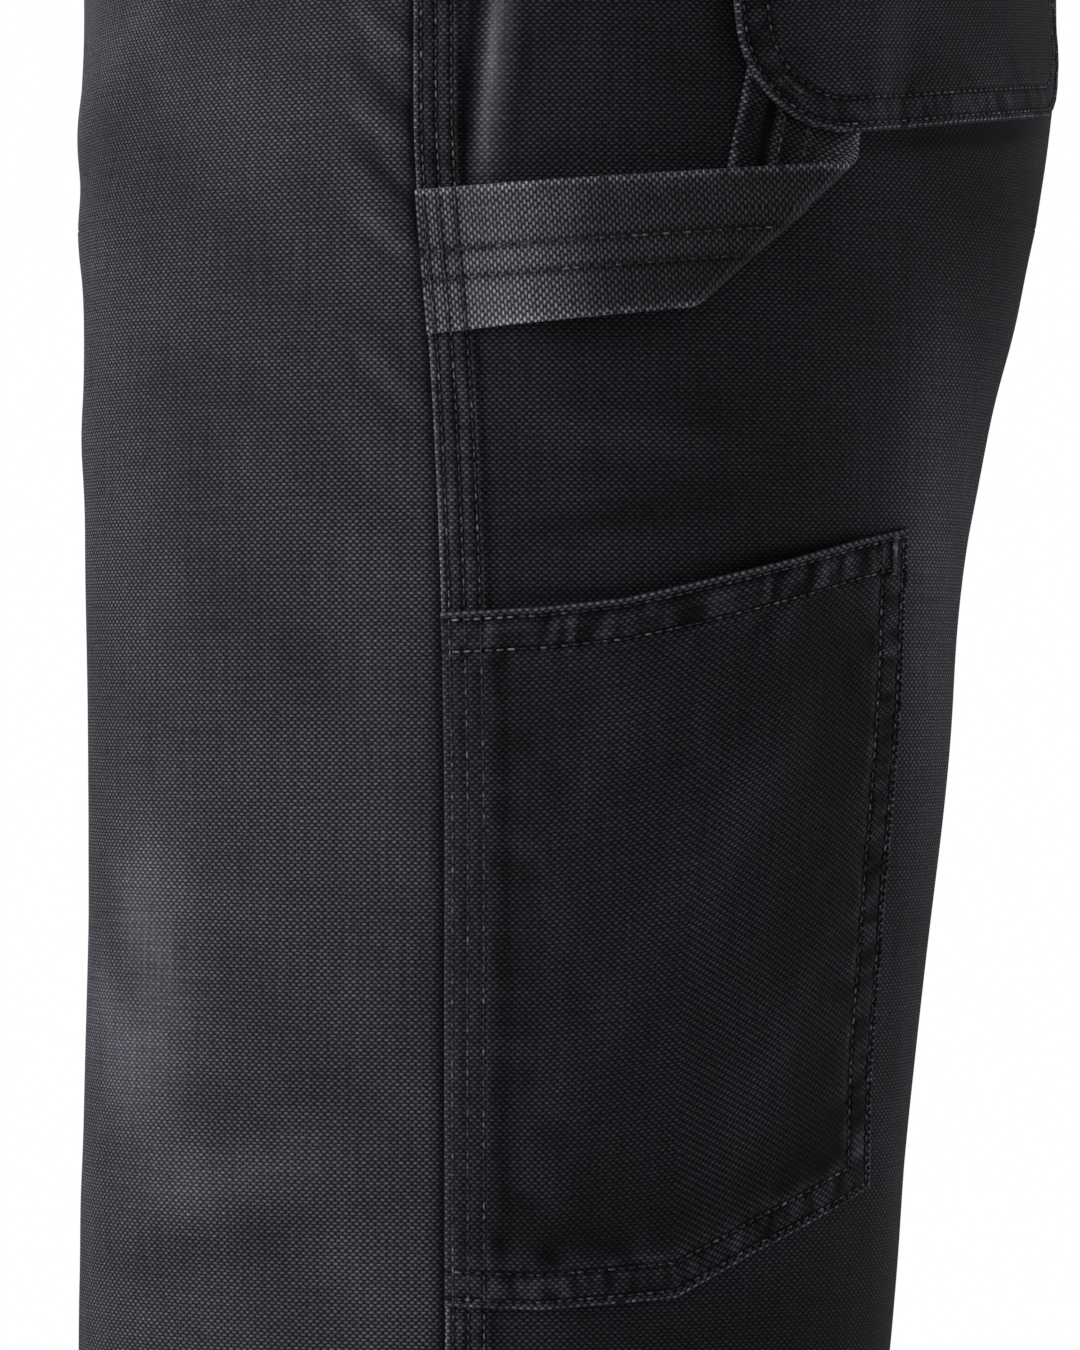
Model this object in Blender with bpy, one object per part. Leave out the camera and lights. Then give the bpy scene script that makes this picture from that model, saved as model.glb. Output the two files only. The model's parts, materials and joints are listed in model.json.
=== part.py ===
# Work pants with a hammer loop and a tool pocket on the left leg.
# They are filled out as on a general figure, hollow, with no wearer.
# Metres, +Z up. The wearer faces -Y and the wearer's left is +X.
# The origin is the middle of the waist, halfway up the waistband.

import bpy
import bmesh
import numpy as np

# Cloth and seams
CLOTH = 0.0012
SEAM_GAP = 0.0003
PATCH_GAP = 0.00045
FELLED_WIDTH = 0.0125
FELLED_RISE = 0.0012
HEM_HEIGHT = 0.013
LINING_DEPTH = 0.0026

# Heights along the body, and how far the waist tips down at the front
BAND_TOP = 0.020
BAND_FOOT = -0.020
CROTCH_START = -0.172
CROTCH = -0.272
HEM = -1.085
WAIST_TILT = 0.12

# The filled-out form: one row for each height
FORM_COLUMNS = ("z", "outer_x", "inner_x", "front_y", "back_y", "seam_y")
FORM = np.array((
    (-1.085, 0.1860, 0.064, -0.0985, 0.0615, -0.020),
    (-0.850, 0.1800, 0.057, -0.1160, 0.0780, -0.024),
    (-0.700, 0.1770, 0.050, -0.1290, 0.0890, -0.027),
    (-0.600, 0.1765, 0.043, -0.1310, 0.0978, -0.026),
    (-0.500, 0.1780, 0.035, -0.1290, 0.1078, -0.026),
    (-0.420, 0.1815, 0.028, -0.1290, 0.1160, -0.026),
    (-0.360, 0.1855, 0.021, -0.1300, 0.1212, -0.0275),
    (-0.310, 0.1900, 0.012, -0.1305, 0.1318, -0.030),
    (-0.272, 0.1930, 0.000, -0.1312, 0.1415, -0.033),
    (-0.250, 0.1945, 0.000, -0.1326, 0.1470, -0.034),
    (-0.225, 0.1955, 0.000, -0.1355, 0.1522, -0.034),
    (-0.200, 0.1960, 0.000, -0.1372, 0.1547, -0.034),
    (-0.140, 0.1920, 0.000, -0.1375, 0.1560, -0.030),
    (-0.080, 0.1820, 0.000, -0.1370, 0.1500, -0.022),
    (-0.020, 0.1670, 0.000, -0.1340, 0.1390, -0.013),
    (0.020, 0.1620, 0.000, -0.1320, 0.1340, -0.010),
))

# Soft folds of the leg panels: side 1 is the left leg, -1 the right, 0 both.
# Place round the leg and height, then turn in degrees, length, width, rise.
FOLDS = (
    (1, -0.100, -0.538, 11, 0.17, 0.016, 0.0016),
    (1, -0.055, -0.349, -37, 0.08, 0.012, 0.0010),
    (1, -0.200, -0.475, 62, 0.12, 0.020, -0.0022),
    (-1, -0.150, -0.450, 35, 0.14, 0.018, 0.0020),
    (0, -0.185, -0.240, 28, 0.14, 0.016, 0.0018),
    (0, -0.215, -0.285, 18, 0.14, 0.014, 0.0026),
    (0, -0.200, -0.335, 6, 0.13, 0.015, 0.0018),
    (1, -0.150, -0.650, 7, 0.22, 0.018, 0.0032),
    (-1, -0.140, -0.665, -5, 0.22, 0.018, 0.0032),
    (0, -0.140, -0.705, -8, 0.20, 0.017, -0.0028),
    (1, -0.130, -0.960, 12, 0.20, 0.018, 0.0030),
    (-1, -0.120, -0.975, -14, 0.20, 0.018, 0.0030),
    (0, -0.130, -1.030, -9, 0.20, 0.017, 0.0032),
    (0, 0.215, -0.318, -24, 0.15, 0.018, 0.0026),
    (0, 0.205, -0.362, -14, 0.15, 0.018, 0.0018),
    (1, 0.130, -0.630, 9, 0.20, 0.017, -0.0036),
    (-1, 0.126, -0.645, -5, 0.20, 0.018, -0.0034),
    (0, 0.120, -0.672, 3, 0.20, 0.016, 0.0038),
    (0, 0.120, -0.715, 8, 0.19, 0.017, -0.0030),
    (1, 0.110, -0.940, -15, 0.18, 0.018, 0.0030),
    (-1, 0.112, -0.960, 10, 0.19, 0.018, 0.0028),
    (0, 0.110, -1.020, 10, 0.19, 0.017, 0.0036),
)

# Scoop front pocket, the facing seen in it and the shield behind the fly
SCOOP_WIDTH = 0.105
FACING_OVERLAP = 0.010
FACING_SEAM = 0.008
FLY_LEFT = -0.008
FLY_WIDTH = 0.048
FLY_CURVE_TOP = -0.128
FLY_CURVE = 0.036

# Yoke seam height at the outseam and at the centre back
YOKE_SIDE = -0.050
YOKE_BACK = -0.080

# Waistband, its overlap at the front, button and belt loops
BAND_LIFT = 0.0018
BAND_CLOTH = 0.0026
BAND_END_X = -0.020
UNDERLAP_END_X = 0.030
UNDERLAP_DEPTH = 0.0030
WAIST_HALF_WIDTH = 0.165
UNDERLAP_DIVE = (-0.048, -0.024)
BUTTON_STEPS = 28
BUTTON_PROFILE = (
    (0.0000, 0.0000),
    (0.0076, 0.0000),
    (0.0085, 0.0006),
    (0.0085, 0.0015),
    (0.0078, 0.0024),
    (0.0066, 0.0027),
    (0.0058, 0.0021),
    (0.0000, 0.0019),
)
LOOP_WIDTH = 0.012
LOOP_CLOTH = 0.0012
LOOP_TURNS = (36, 97, 141, 180, 219, 263, 324)
LOOP_PATH = (
    (-0.0380, 0.00095),
    (-0.0290, 0.00095),
    (-0.0235, 0.00370),
    (-0.0165, 0.00600),
    (-0.0050, 0.00630),
    (0.0060, 0.00600),
    (0.0115, 0.00420),
    (0.0145, 0.00275),
    (0.0195, 0.00275),
)

# Back pocket: corners by place round the body and height before the waist tips,
# and how far the left one rises over the strap's end
BACK_POCKET = {
    "foot_side": (0.0560, -0.2548),
    "foot_back": (0.2130, -0.2356),
    "top_side": (0.0380, -0.0930),
    "top_back": (0.2020, -0.0890),
}
BACK_POCKET_SIZE = 0.162
BACK_POCKET_CORNER = 0.032
POCKET_CLOTH = 0.0012
BACK_POCKET_GAP = 0.00075
BACK_POCKET_FULLNESS = 0.0006
BACK_POCKET_BUMP = 0.0033

# Tool pocket on the left leg: place along, top edge, bottom edge; then its
# right edge, how full it stands and the slanting fold down its middle
TOOL_POCKET = np.array((
    (0.00, -0.3814, -0.5703),
    (0.20, -0.3800, -0.5715),
    (0.36, -0.3775, -0.5702),
    (0.50, -0.3730, -0.5690),
    (0.68, -0.3672, -0.5575),
    (0.86, -0.3612, -0.5480),
    (1.00, -0.3574, -0.5412),
))
TOOL_POCKET_TOP_RIGHT = 0.1100
TOOL_POCKET_FOOT_RIGHT = 0.1005
TOOL_POCKET_FULLNESS = 0.0024
TOOL_POCKET_MOUTH = 0.0016
TOOL_POCKET_FOLD = (0.034, -0.4645)
TOOL_POCKET_FOLD_SLOPE = 0.56
TOOL_POCKET_FOLD_WIDTH = 0.0172

# Hammer loop strap: it leaves the outseam, folds over and runs up to the pocket
STRAP_CLOTH = 0.0016
STRAP_START = (-0.0318, -0.2870)
STRAP_SLOPE = 4.9
STRAP_WIDTH_SEAM = 0.0390
STRAP_WIDTH_FOLD = 0.0355
FOLD_POINT = (0.0590, -0.2775)
FOLD_SLOPE = 41.5
FOLD_RADIUS = 0.0032
STRAP_FRONT_LIFT = 0.0092
STRAP_TUCK_LIFT = 0.0013
STRAP_REAR_LENGTH = 0.056


def smooth(value, start, end):
    part = np.clip((value - start) / (end - start), 0, 1)
    return part * part * (3 - 2 * part)


def form(name, z):
    heights = FORM[:, 0]
    values = FORM[:, FORM_COLUMNS.index(name)]
    slopes = np.gradient(values, heights)
    row = np.clip(np.searchsorted(heights, z) - 1, 0, len(heights) - 2)
    step = heights[row + 1] - heights[row]
    t = (z - heights[row]) / step
    start = (2 * t**3 - 3 * t**2 + 1) * values[row] + (t**3 - 2 * t**2 + t) * step * slopes[row]
    end = (3 * t**2 - 2 * t**3) * values[row + 1] + (t**3 - t**2) * step * slopes[row + 1]
    return start + end


def ring(z):
    # Half of the body above the crotch, a whole leg below it
    outer = form("outer_x", z)
    drop = np.clip((CROTCH_START - z) / (CROTCH_START - CROTCH), 0, 1) ** 2
    inner = np.where(z > CROTCH, outer * (drop - 1) / (drop + 1), form("inner_x", z))
    centre_x = (outer + inner) / 2
    half_width = (outer - inner) / 2
    centre_y = (form("back_y", z) + form("front_y", z)) / 2
    half_depth = (form("back_y", z) - form("front_y", z)) / 2
    last = np.arccos(-np.clip(centre_x / half_width, 0, 1))
    return centre_x, half_width, centre_y, half_depth, last


def ring_point(angle, z):
    centre_x, half_width, centre_y, half_depth, last = ring(z)
    x = SEAM_GAP / 2 + centre_x + half_width * np.cos(angle)
    y = centre_y + half_depth * np.sin(angle)
    return np.stack((x, y, z + WAIST_TILT * y * smooth(z, -0.16, -0.02)), axis=-1)


def ring_lengths(z, steps=161):
    # Distance round the ring, measured from the side line at y = 0
    centre_x, half_width, centre_y, half_depth, last = ring(z)
    angle = last[:, None] * np.linspace(-1, 1, steps)[None, :]
    speed = np.hypot(half_width[:, None] * np.sin(angle), half_depth[:, None] * np.cos(angle))
    pieces = (speed[:, 1:] + speed[:, :-1]) / 2 * np.diff(angle, axis=1)
    length = np.concatenate((np.zeros((len(z), 1)), np.cumsum(pieces, axis=1)), axis=1)
    side = np.arcsin(-centre_y / half_depth)
    seam = np.arcsin((form("seam_y", z) - centre_y) / half_depth)
    side_length = [np.interp(a, row, s) for a, row, s in zip(side, angle, length)]
    seam_length = [np.interp(a, row, s) for a, row, s in zip(seam, angle, length)]
    length = length - np.array(side_length)[:, None]
    return angle, length, np.array(seam_length) - np.array(side_length)


def seam_place(z):
    shape = np.shape(z)
    return ring_lengths(np.ravel(z))[2].reshape(shape)


def last_place(z, end):
    # End of the ring at the front (-1) or at the back (1), with the seam gap in a leg
    shape = np.shape(z)
    flat = np.ravel(z)
    length = ring_lengths(flat)[1]
    inset = np.where(flat > CROTCH + 1e-6, 0, SEAM_GAP / 2)
    place = length[:, -1] - inset if end > 0 else length[:, 0] + inset
    return place.reshape(shape)


def lifted(angle, z, lift, point_at):
    step = 1e-4
    across = point_at(angle + step, z) - point_at(angle - step, z)
    up = point_at(angle, z + step) - point_at(angle, z - step)
    normal = np.cross(across, up)
    normal /= np.linalg.norm(normal, axis=-1)[..., None]
    return point_at(angle, z) + normal * lift[..., None]


def on_leg(place, z, lift):
    # A point by its place round the leg, its height and its lift off the cloth's face
    place, z, lift = np.broadcast_arrays(np.asarray(place, float), z, lift)
    flat_place, flat_z = place.ravel(), z.ravel()
    angle, length, seam = ring_lengths(flat_z)
    found = [np.interp(p, s, row) for p, s, row in zip(flat_place, length, angle)]
    points = lifted(np.array(found), flat_z, lift.ravel(), ring_point)
    return points.reshape(place.shape + (3,))


def trunk_point(turn, z):
    # The whole waist as one ring; the turn starts at the centre front, towards the left
    centre_x, half_width, centre_y, half_depth, last = ring(z)
    x = half_width * np.sin(turn)
    y = centre_y - half_depth * np.cos(turn)
    return np.stack((x, y, z + WAIST_TILT * y * smooth(z, -0.16, -0.02)), axis=-1)


def on_trunk(turn, z, lift):
    turn, z, lift = np.broadcast_arrays(np.asarray(turn, float), z, lift)
    return lifted(turn, z, lift, trunk_point)


def felled_lift(place, z, start=0.0127, end=0.0132):
    # The outseam is folded twice and stitched down on the back panel's side
    return FELLED_RISE * (1 - smooth(place - seam_place(z), start, end))


def fold_lift(side, place, z, across):
    total = np.zeros(np.shape(z))
    for fold_side, fold_place, fold_z, turn, length, width, rise in FOLDS:
        if fold_side in (0, side):
            cos, sin = np.cos(np.radians(turn)), np.sin(np.radians(turn))
            along = (place - fold_place) * cos + (z - fold_z) * sin
            aside = (z - fold_z) * cos - (place - fold_place) * sin
            ends = np.clip(1 - (2 * along / length) ** 2, 0, 1) ** 2
            total = total + rise * ends * np.exp(-(aside / width) ** 2)
    return total * smooth(across, 0.0, 0.16) * smooth(1 - across, 0.0, 0.12)


def clear_scene():
    for existing in list(bpy.data.objects):
        bpy.data.objects.remove(existing, do_unlink=True)


def cloth_material(name, colour, roughness=0.92, metallic=0.0):
    material = bpy.data.materials.new(name)
    material.use_nodes = True
    shader = material.node_tree.nodes["Principled BSDF"]
    shader.inputs["Base Color"].default_value = (*colour, 1.0)
    shader.inputs["Roughness"].default_value = roughness
    shader.inputs["Metallic"].default_value = metallic
    return material


def add_object(name, points, faces, material, side=1):
    mesh = bpy.data.meshes.new(name)
    placed = np.array(points, float)
    placed[:, 0] *= side
    mesh.from_pydata(placed.tolist(), [], faces)
    shape = bmesh.new()
    shape.from_mesh(mesh)
    bmesh.ops.triangulate(shape, faces=shape.faces, quad_method="SHORT_EDGE")
    bmesh.ops.recalc_face_normals(shape, faces=shape.faces)
    shape.to_mesh(mesh)
    shape.free()
    mesh.materials.append(material)
    piece = bpy.data.objects.new(name, mesh)
    parts.objects.link(piece)
    return piece


def add_sheet(name, outer, inner, material, side=1):
    # A closed piece of cloth between two grids of points
    rows, columns = outer.shape[:2]
    count = rows * columns
    number = np.arange(count).reshape(rows, columns)
    points = np.concatenate((outer.reshape(-1, 3), inner.reshape(-1, 3)))
    faces = []
    edges = [number[0, :], number[:, -1], number[-1, ::-1], number[::-1, 0]]
    for edge in edges:
        for first, second in zip(edge[:-1], edge[1:]):
            faces.append([int(second), int(first), int(first) + count, int(second) + count])
    for row in range(rows - 1):
        for column in range(columns - 1):
            corners = (number[row, column], number[row, column + 1],
                       number[row + 1, column + 1], number[row + 1, column])
            faces.append([int(c) for c in corners])
            faces.append([int(c) + count for c in reversed(corners)])
    return add_object(name, points, faces, material, side)


def crotch_rows():
    # Rows level at the outseam that bunch up round the curve of the rise
    level = np.linspace(CROTCH_START, CROTCH, 9)
    turn = np.radians((90, 78, 66, 54, 42, 31, 20, 10, 0))
    rise = CROTCH_START - (CROTCH_START - CROTCH) * np.sqrt(np.clip(np.cos(turn), 0, 1))
    return level, rise


def leg_rows():
    thigh = np.linspace(CROTCH, -0.600, 15)[1:]
    calf = np.linspace(-0.600, HEM + HEM_HEIGHT + 0.001, 17)[1:]
    return np.concatenate((thigh, calf, (HEM + HEM_HEIGHT - 0.001, HEM)))


def panel_heights(top_rows, across):
    # Heights of a whole leg panel from its top edge to the hem
    level, rise = crotch_rows()
    bent = level[1:, None] + (rise - level)[1:, None] * across[None, :] ** 2
    legs = leg_rows()[:, None] + 0 * across[None, :]
    return np.concatenate((top_rows, bent, legs), axis=0)


def hem_depth(z):
    return CLOTH * (1 + (z < HEM + HEM_HEIGHT))


def scoop_reach(z, foot, width):
    height = np.clip((z - foot) / (BAND_FOOT - SEAM_GAP - foot), 0, 1)
    return width * np.sqrt(1 - (1 - height) ** 2)


def add_front(name, side, material):
    across = np.linspace(0, 1, 13)
    curve = np.radians(np.linspace(90, 0, 9))
    top = CROTCH_START + (BAND_FOOT - SEAM_GAP - CROTCH_START) * (1 - np.cos(curve))
    z = panel_heights(top[:, None] + 0 * across[None, :], across)
    start = seam_place(z) - SEAM_GAP / 2 - scoop_reach(z, CROTCH_START, SCOOP_WIDTH)
    place = start + (last_place(z, -1) - start) * across[None, :]
    rise = fold_lift(side, place, z, across[None, :])
    return add_sheet(name, on_leg(place, z, rise), on_leg(place, z, rise - hem_depth(z)), material, side)


def back_places(z, across):
    # Columns of the back: two for the felled edge, then even ones to the end
    seam = seam_place(z)
    rest = np.clip((across - across[2]) / (1 - across[2]), 0, 1)
    start = seam + FELLED_WIDTH + 0.0008
    place = start + (last_place(z, 1) - start) * rest[None, :]
    place[:, 0] = seam[:, 0] + SEAM_GAP / 2
    place[:, 1] = seam[:, 1] + FELLED_WIDTH
    return place


BACK_ACROSS = np.concatenate(((0.0, 0.045, 0.048), np.linspace(0.048, 1, 12)[1:]))


def yoke_line(across):
    return YOKE_SIDE + (YOKE_BACK - YOKE_SIDE) * across


def add_back(name, side, material):
    across = BACK_ACROSS
    part = np.linspace(0, 1, 7)[:, None]
    top = yoke_line(across)[None, :] - SEAM_GAP / 2
    z = panel_heights(top + (CROTCH_START - top) * part, across)
    place = back_places(z, across)
    rise = fold_lift(side, place, z, across[None, :])
    outer = on_leg(place, z, rise + felled_lift(place, z))
    return add_sheet(name, outer, on_leg(place, z, rise - hem_depth(z)), material, side)


def add_yoke(name, side, material):
    across = BACK_ACROSS
    part = np.linspace(0, 1, 4)[:, None]
    foot = yoke_line(across)[None, :] + SEAM_GAP / 2
    z = (BAND_FOOT - SEAM_GAP) * (1 - part) + foot * part
    place = back_places(z, across)
    outer = on_leg(place, z, felled_lift(place, z))
    return add_sheet(name, outer, on_leg(place, z, -CLOTH), material, side)


def add_facing(name, side, material):
    # Cloth seen in the scoop pocket; it is sewn in behind the front and the back
    across = np.linspace(0, 1, 9)[None, :]
    foot = CROTCH_START - FACING_OVERLAP
    curve = np.radians(np.linspace(90, 12, 9))[:, None]
    z = foot + (BAND_FOOT - SEAM_GAP - foot) * (1 - np.cos(curve)) + 0 * across
    start = seam_place(z) + FACING_SEAM
    end = seam_place(z) - scoop_reach(z, foot, SCOOP_WIDTH + FACING_OVERLAP)
    place = start + (end - start) * across
    outer = on_leg(place, z, -LINING_DEPTH)
    return add_sheet(name, outer, on_leg(place, z, -LINING_DEPTH - CLOTH), material, side)


def add_fly_shield(material):
    # Cloth behind the front opening, with a curved foot
    straight = np.linspace(BAND_FOOT - SEAM_GAP, FLY_CURVE_TOP, 6)
    turn = np.radians((20, 40, 58, 74))
    z = np.concatenate((straight, FLY_CURVE_TOP - FLY_CURVE * np.sin(turn)))
    width = np.concatenate((np.full(6, FLY_WIDTH), FLY_WIDTH * np.cos(turn)))
    across = np.linspace(0, 1, 6)[None, :]
    x = FLY_LEFT + width[:, None] * across
    z = z[:, None] + 0 * across
    turn_round = np.arcsin(x / form("outer_x", z))
    outer = on_trunk(turn_round, z, -LINING_DEPTH)
    inner = on_trunk(turn_round, z, -LINING_DEPTH - CLOTH)
    return add_sheet("fly_shield", outer, inner, material)


def add_waistband(material):
    # The left end laps over the right end at the centre front
    start = np.arcsin(BAND_END_X / WAIST_HALF_WIDTH)
    end = 2 * np.pi + np.arcsin(UNDERLAP_END_X / WAIST_HALF_WIDTH)
    dive_start = 2 * np.pi + np.arcsin(UNDERLAP_DIVE[0] / WAIST_HALF_WIDTH)
    dive_end = 2 * np.pi + np.arcsin(UNDERLAP_DIVE[1] / WAIST_HALF_WIDTH)
    turn = np.concatenate((np.linspace(start, dive_start, 42), np.linspace(dive_start, dive_end, 4)[1:],
                           np.linspace(dive_end, end, 5)[1:]))[None, :]
    z = np.linspace(BAND_TOP, BAND_FOOT, 4)[:, None]
    lift = BAND_LIFT - UNDERLAP_DEPTH * smooth(turn, dive_start, dive_end)
    return add_sheet("waistband", on_trunk(turn, z, lift), on_trunk(turn, z, lift - BAND_CLOTH), material)


def add_belt_loop(name, turn_degrees, material):
    # A flat strip that stands off the band for a thin belt
    path = np.array(LOOP_PATH)
    along = np.gradient(path, axis=0)
    along /= np.linalg.norm(along, axis=1)[:, None]
    aside = np.stack((-along[:, 1], along[:, 0]), axis=1) * LOOP_CLOTH / 2
    centre = np.radians(turn_degrees)
    base = on_trunk(np.array((centre, centre + 0.01)), 0.0, 0.0)
    turn_width = LOOP_WIDTH * 0.01 / np.linalg.norm(base[1] - base[0])
    turn = centre + turn_width * np.array((-0.5, 0.0, 0.5))[None, :]
    high = path + aside
    low = path - aside
    outer = on_trunk(turn, high[:, :1], high[:, 1:])
    inner = on_trunk(turn, low[:, :1], low[:, 1:])
    return add_sheet(name, outer, inner, material)


def add_button(material):
    # A shank button's cap, turned about an axis square to the waistband
    profile = np.array(BUTTON_PROFILE)
    centre = on_trunk(np.array(0.0), np.array(0.0), np.array(BAND_LIFT + SEAM_GAP))
    ahead = on_trunk(np.array(0.0), np.array(0.0), np.array(BAND_LIFT + SEAM_GAP + 0.01))
    out = (ahead - centre) / np.linalg.norm(ahead - centre)
    side = np.array((1.0, 0.0, 0.0))
    up = np.cross(side, out)
    steps = BUTTON_STEPS
    points = [centre + out * profile[0, 1]]
    for radius, rise in profile[1:-1]:
        for step in range(steps):
            turn = 2 * np.pi * step / steps
            points.append(centre + out * rise + radius * (side * np.cos(turn) + up * np.sin(turn)))
    points.append(centre + out * profile[-1, 1])
    faces = []
    rings = len(profile) - 2
    for step in range(steps):
        following = (step + 1) % steps
        faces.append([0, 1 + following, 1 + step])
        for level in range(rings - 1):
            low, high = 1 + level * steps, 1 + (level + 1) * steps
            faces.append([low + step, low + following, high + following, high + step])
        last = 1 + (rings - 1) * steps
        faces.append([last + step, last + following, len(points) - 1])
    piece = add_object("waist_button", np.array(points), faces, material)
    piece.data.shade_smooth()
    return piece


def strap_frame():
    slope = np.radians(STRAP_SLOPE)
    fold = np.radians(FOLD_SLOPE)
    rear = 2 * fold - slope
    return slope, fold, rear


def rear_strap_place(place, z):
    # Distance aside from the middle of the strap's rear run, and distance along it
    slope, fold, rear = strap_frame()
    across = (place - FOLD_POINT[0]) * np.sin(rear) - (z - FOLD_POINT[1]) * np.cos(rear)
    along = (place - FOLD_POINT[0]) * np.cos(rear) + (z - FOLD_POINT[1]) * np.sin(rear)
    return across, along


def add_back_pocket(name, side, material):
    # The bottom corners are round, and the left pocket rises over the strap's end
    half = np.radians((0, 24, 46, 68, 90))
    near = (1 - np.cos(half)) * BACK_POCKET_CORNER / BACK_POCKET_SIZE
    u = np.concatenate((near, np.linspace(near[-1], 1 - near[-1], 10)[1:-1], 1 - near[::-1]))
    from_edge = np.minimum(u, 1 - u) * BACK_POCKET_SIZE
    left_over = np.clip(BACK_POCKET_CORNER - from_edge, 0, BACK_POCKET_CORNER)
    cut = BACK_POCKET_CORNER - np.sqrt(BACK_POCKET_CORNER ** 2 - left_over ** 2)
    v = np.linspace(0, 1, 15)[:, None] * (1 - cut / BACK_POCKET_SIZE)[None, :]
    u = u[None, :] + 0 * v
    corners = [np.array(BACK_POCKET[key]) for key in ("top_side", "top_back", "foot_side", "foot_back")]
    weights = ((1 - u) * (1 - v), u * (1 - v), (1 - u) * v, u * v)
    place = sum(w * c[0] for w, c in zip(weights, corners))
    z = sum(w * c[1] for w, c in zip(weights, corners))
    rise = BACK_POCKET_GAP + BACK_POCKET_FULLNESS * np.sin(np.pi * u) * (1 - v)
    if side > 0:
        aside, along = rear_strap_place(place, z)
        over = 1 - smooth(np.abs(aside), 0.0225, 0.040)
        over = over * (1 - smooth(along, STRAP_REAR_LENGTH + 0.008, STRAP_REAR_LENGTH + 0.034))
        rise = rise + BACK_POCKET_BUMP * over
    return add_sheet(name, on_leg(place, z, rise + POCKET_CLOTH), on_leg(place, z, rise), material, side)


def add_tool_pocket(material):
    # A flat bag pocket caught in the outseam, fuller in the middle and at the mouth
    edge = np.array((0.0, 0.086, 0.100, 0.128, 0.155))
    u = np.concatenate((edge, np.linspace(0.155, 1, 13)[1:]))
    top = np.interp(u, TOOL_POCKET[:, 0], TOOL_POCKET[:, 1])
    foot = np.interp(u, TOOL_POCKET[:, 0], TOOL_POCKET[:, 2])
    v = np.linspace(0, 1, 18)[:, None]
    z = top[None, :] * (1 - v) + foot[None, :] * v
    right = TOOL_POCKET_TOP_RIGHT + (TOOL_POCKET_FOOT_RIGHT - TOOL_POCKET_TOP_RIGHT) * smooth(v, 0, 0.9)
    left = seam_place(z) + SEAM_GAP / 2
    place = left + (right - left) * u[None, :]
    full = smooth(u, 0.16, 0.5) * smooth(1 - u, 0.06, 0.4)
    diagonal = (place - TOOL_POCKET_FOLD[0]) - (z - TOOL_POCKET_FOLD[1]) * TOOL_POCKET_FOLD_SLOPE
    fold = np.exp(-(diagonal / TOOL_POCKET_FOLD_WIDTH) ** 2)
    fold = fold * smooth(v, 0.02, 0.25) * smooth(1 - v, 0.05, 0.3)
    rise = PATCH_GAP + felled_lift(place, z, 0.0136, 0.0185)
    body = TOOL_POCKET_FULLNESS * full[None, :] * (0.35 + 0.65 * smooth(1 - v, 0.05, 0.5))
    rise = rise + body * (0.55 + 0.45 * fold)
    rise = rise + TOOL_POCKET_MOUTH * full[None, :] * (1 - smooth(v, 0.0, 0.22))
    outer = on_leg(place, z, rise + POCKET_CLOTH)
    return add_sheet("tool_pocket", outer, on_leg(place, z, rise), material)


def strap_layer(offset):
    # One face of the strap: the front run, the bend at the fold and the rear run
    slope, fold, rear = strap_frame()
    between = fold - slope
    forward = np.array((np.cos(slope), np.sin(slope)))
    upward = np.array((-np.sin(slope), np.cos(slope)))
    outward = np.array((np.sin(fold), -np.cos(fold)))
    start = np.array(STRAP_START)
    fold_x = (np.array(FOLD_POINT) - start) @ forward
    fold_y = (np.array(FOLD_POINT) - start) @ upward
    bend = np.pi * FOLD_RADIUS
    rows = []
    for part in np.linspace(0.5, -0.5, 7):
        width_at_fold = STRAP_WIDTH_FOLD * part
        crossing = fold_x + (width_at_fold - fold_y) / np.tan(between)
        seam_z = start[1] + STRAP_WIDTH_SEAM * part / np.cos(slope)
        first = (seam_place(np.array(seam_z)) + SEAM_GAP / 2 - start[0]) / np.cos(slope)
        first = first + STRAP_WIDTH_SEAM * part * np.tan(slope)
        ramp = first + np.array((0.0, 0.0125, 0.0155, 0.020, 0.026, 0.033, 0.041))
        front = np.concatenate((ramp, np.linspace(ramp[-1], crossing, 5)[1:]))
        turning = crossing + np.linspace(0, bend, 7)[1:] / np.sin(between)
        finish = fold_x + bend / np.sin(between) + STRAP_REAR_LENGTH
        behind = np.linspace(turning[-1], finish, 8)[1:]
        x = np.concatenate((front, turning, behind))
        y = part * np.interp(x, (0, crossing), (STRAP_WIDTH_SEAM, STRAP_WIDTH_FOLD))
        flat = start + x[:, None] * forward + y[:, None] * upward
        beyond = (x - crossing) * np.sin(between)
        foot = flat - beyond[:, None] * outward
        angle = np.clip(beyond / FOLD_RADIUS, 0, np.pi)
        radius = FOLD_RADIUS + offset
        shift = np.where(beyond < 0, beyond, np.where(beyond > bend, bend - beyond, radius * np.sin(angle)))
        spot = foot + shift[:, None] * outward
        from_seam = x - first
        low = FELLED_RISE + PATCH_GAP + STRAP_CLOTH / 2
        rising = low + (STRAP_FRONT_LIFT - low) * smooth(from_seam, 0.0125, 0.048)
        rear_length = np.clip(beyond - bend, 0, 1) / np.sin(between)
        falling = STRAP_FRONT_LIFT - 2 * FOLD_RADIUS
        settled = 0.0065 + 0.024 * (0.5 - part)
        falling = falling + (STRAP_TUCK_LIFT - falling) * smooth(rear_length, 0.0005, settled)
        middle = np.where(beyond > bend, falling + FOLD_RADIUS, rising - FOLD_RADIUS)
        lift = middle + radius * np.cos(angle)
        rows.append(on_leg(spot[:, 0], spot[:, 1], lift))
    return np.array(rows)


def add_hammer_loop(material):
    outer = strap_layer(STRAP_CLOTH / 2)
    inner = strap_layer(-STRAP_CLOTH / 2)
    return add_sheet("hammer_loop", outer, inner, material)


clear_scene()
parts = bpy.data.collections.new("work_pants")
bpy.context.scene.collection.children.link(parts)

CANVAS = (0.030, 0.030, 0.036)
FADED = (0.052, 0.052, 0.058)
BRASS = (0.20, 0.17, 0.13)

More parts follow.
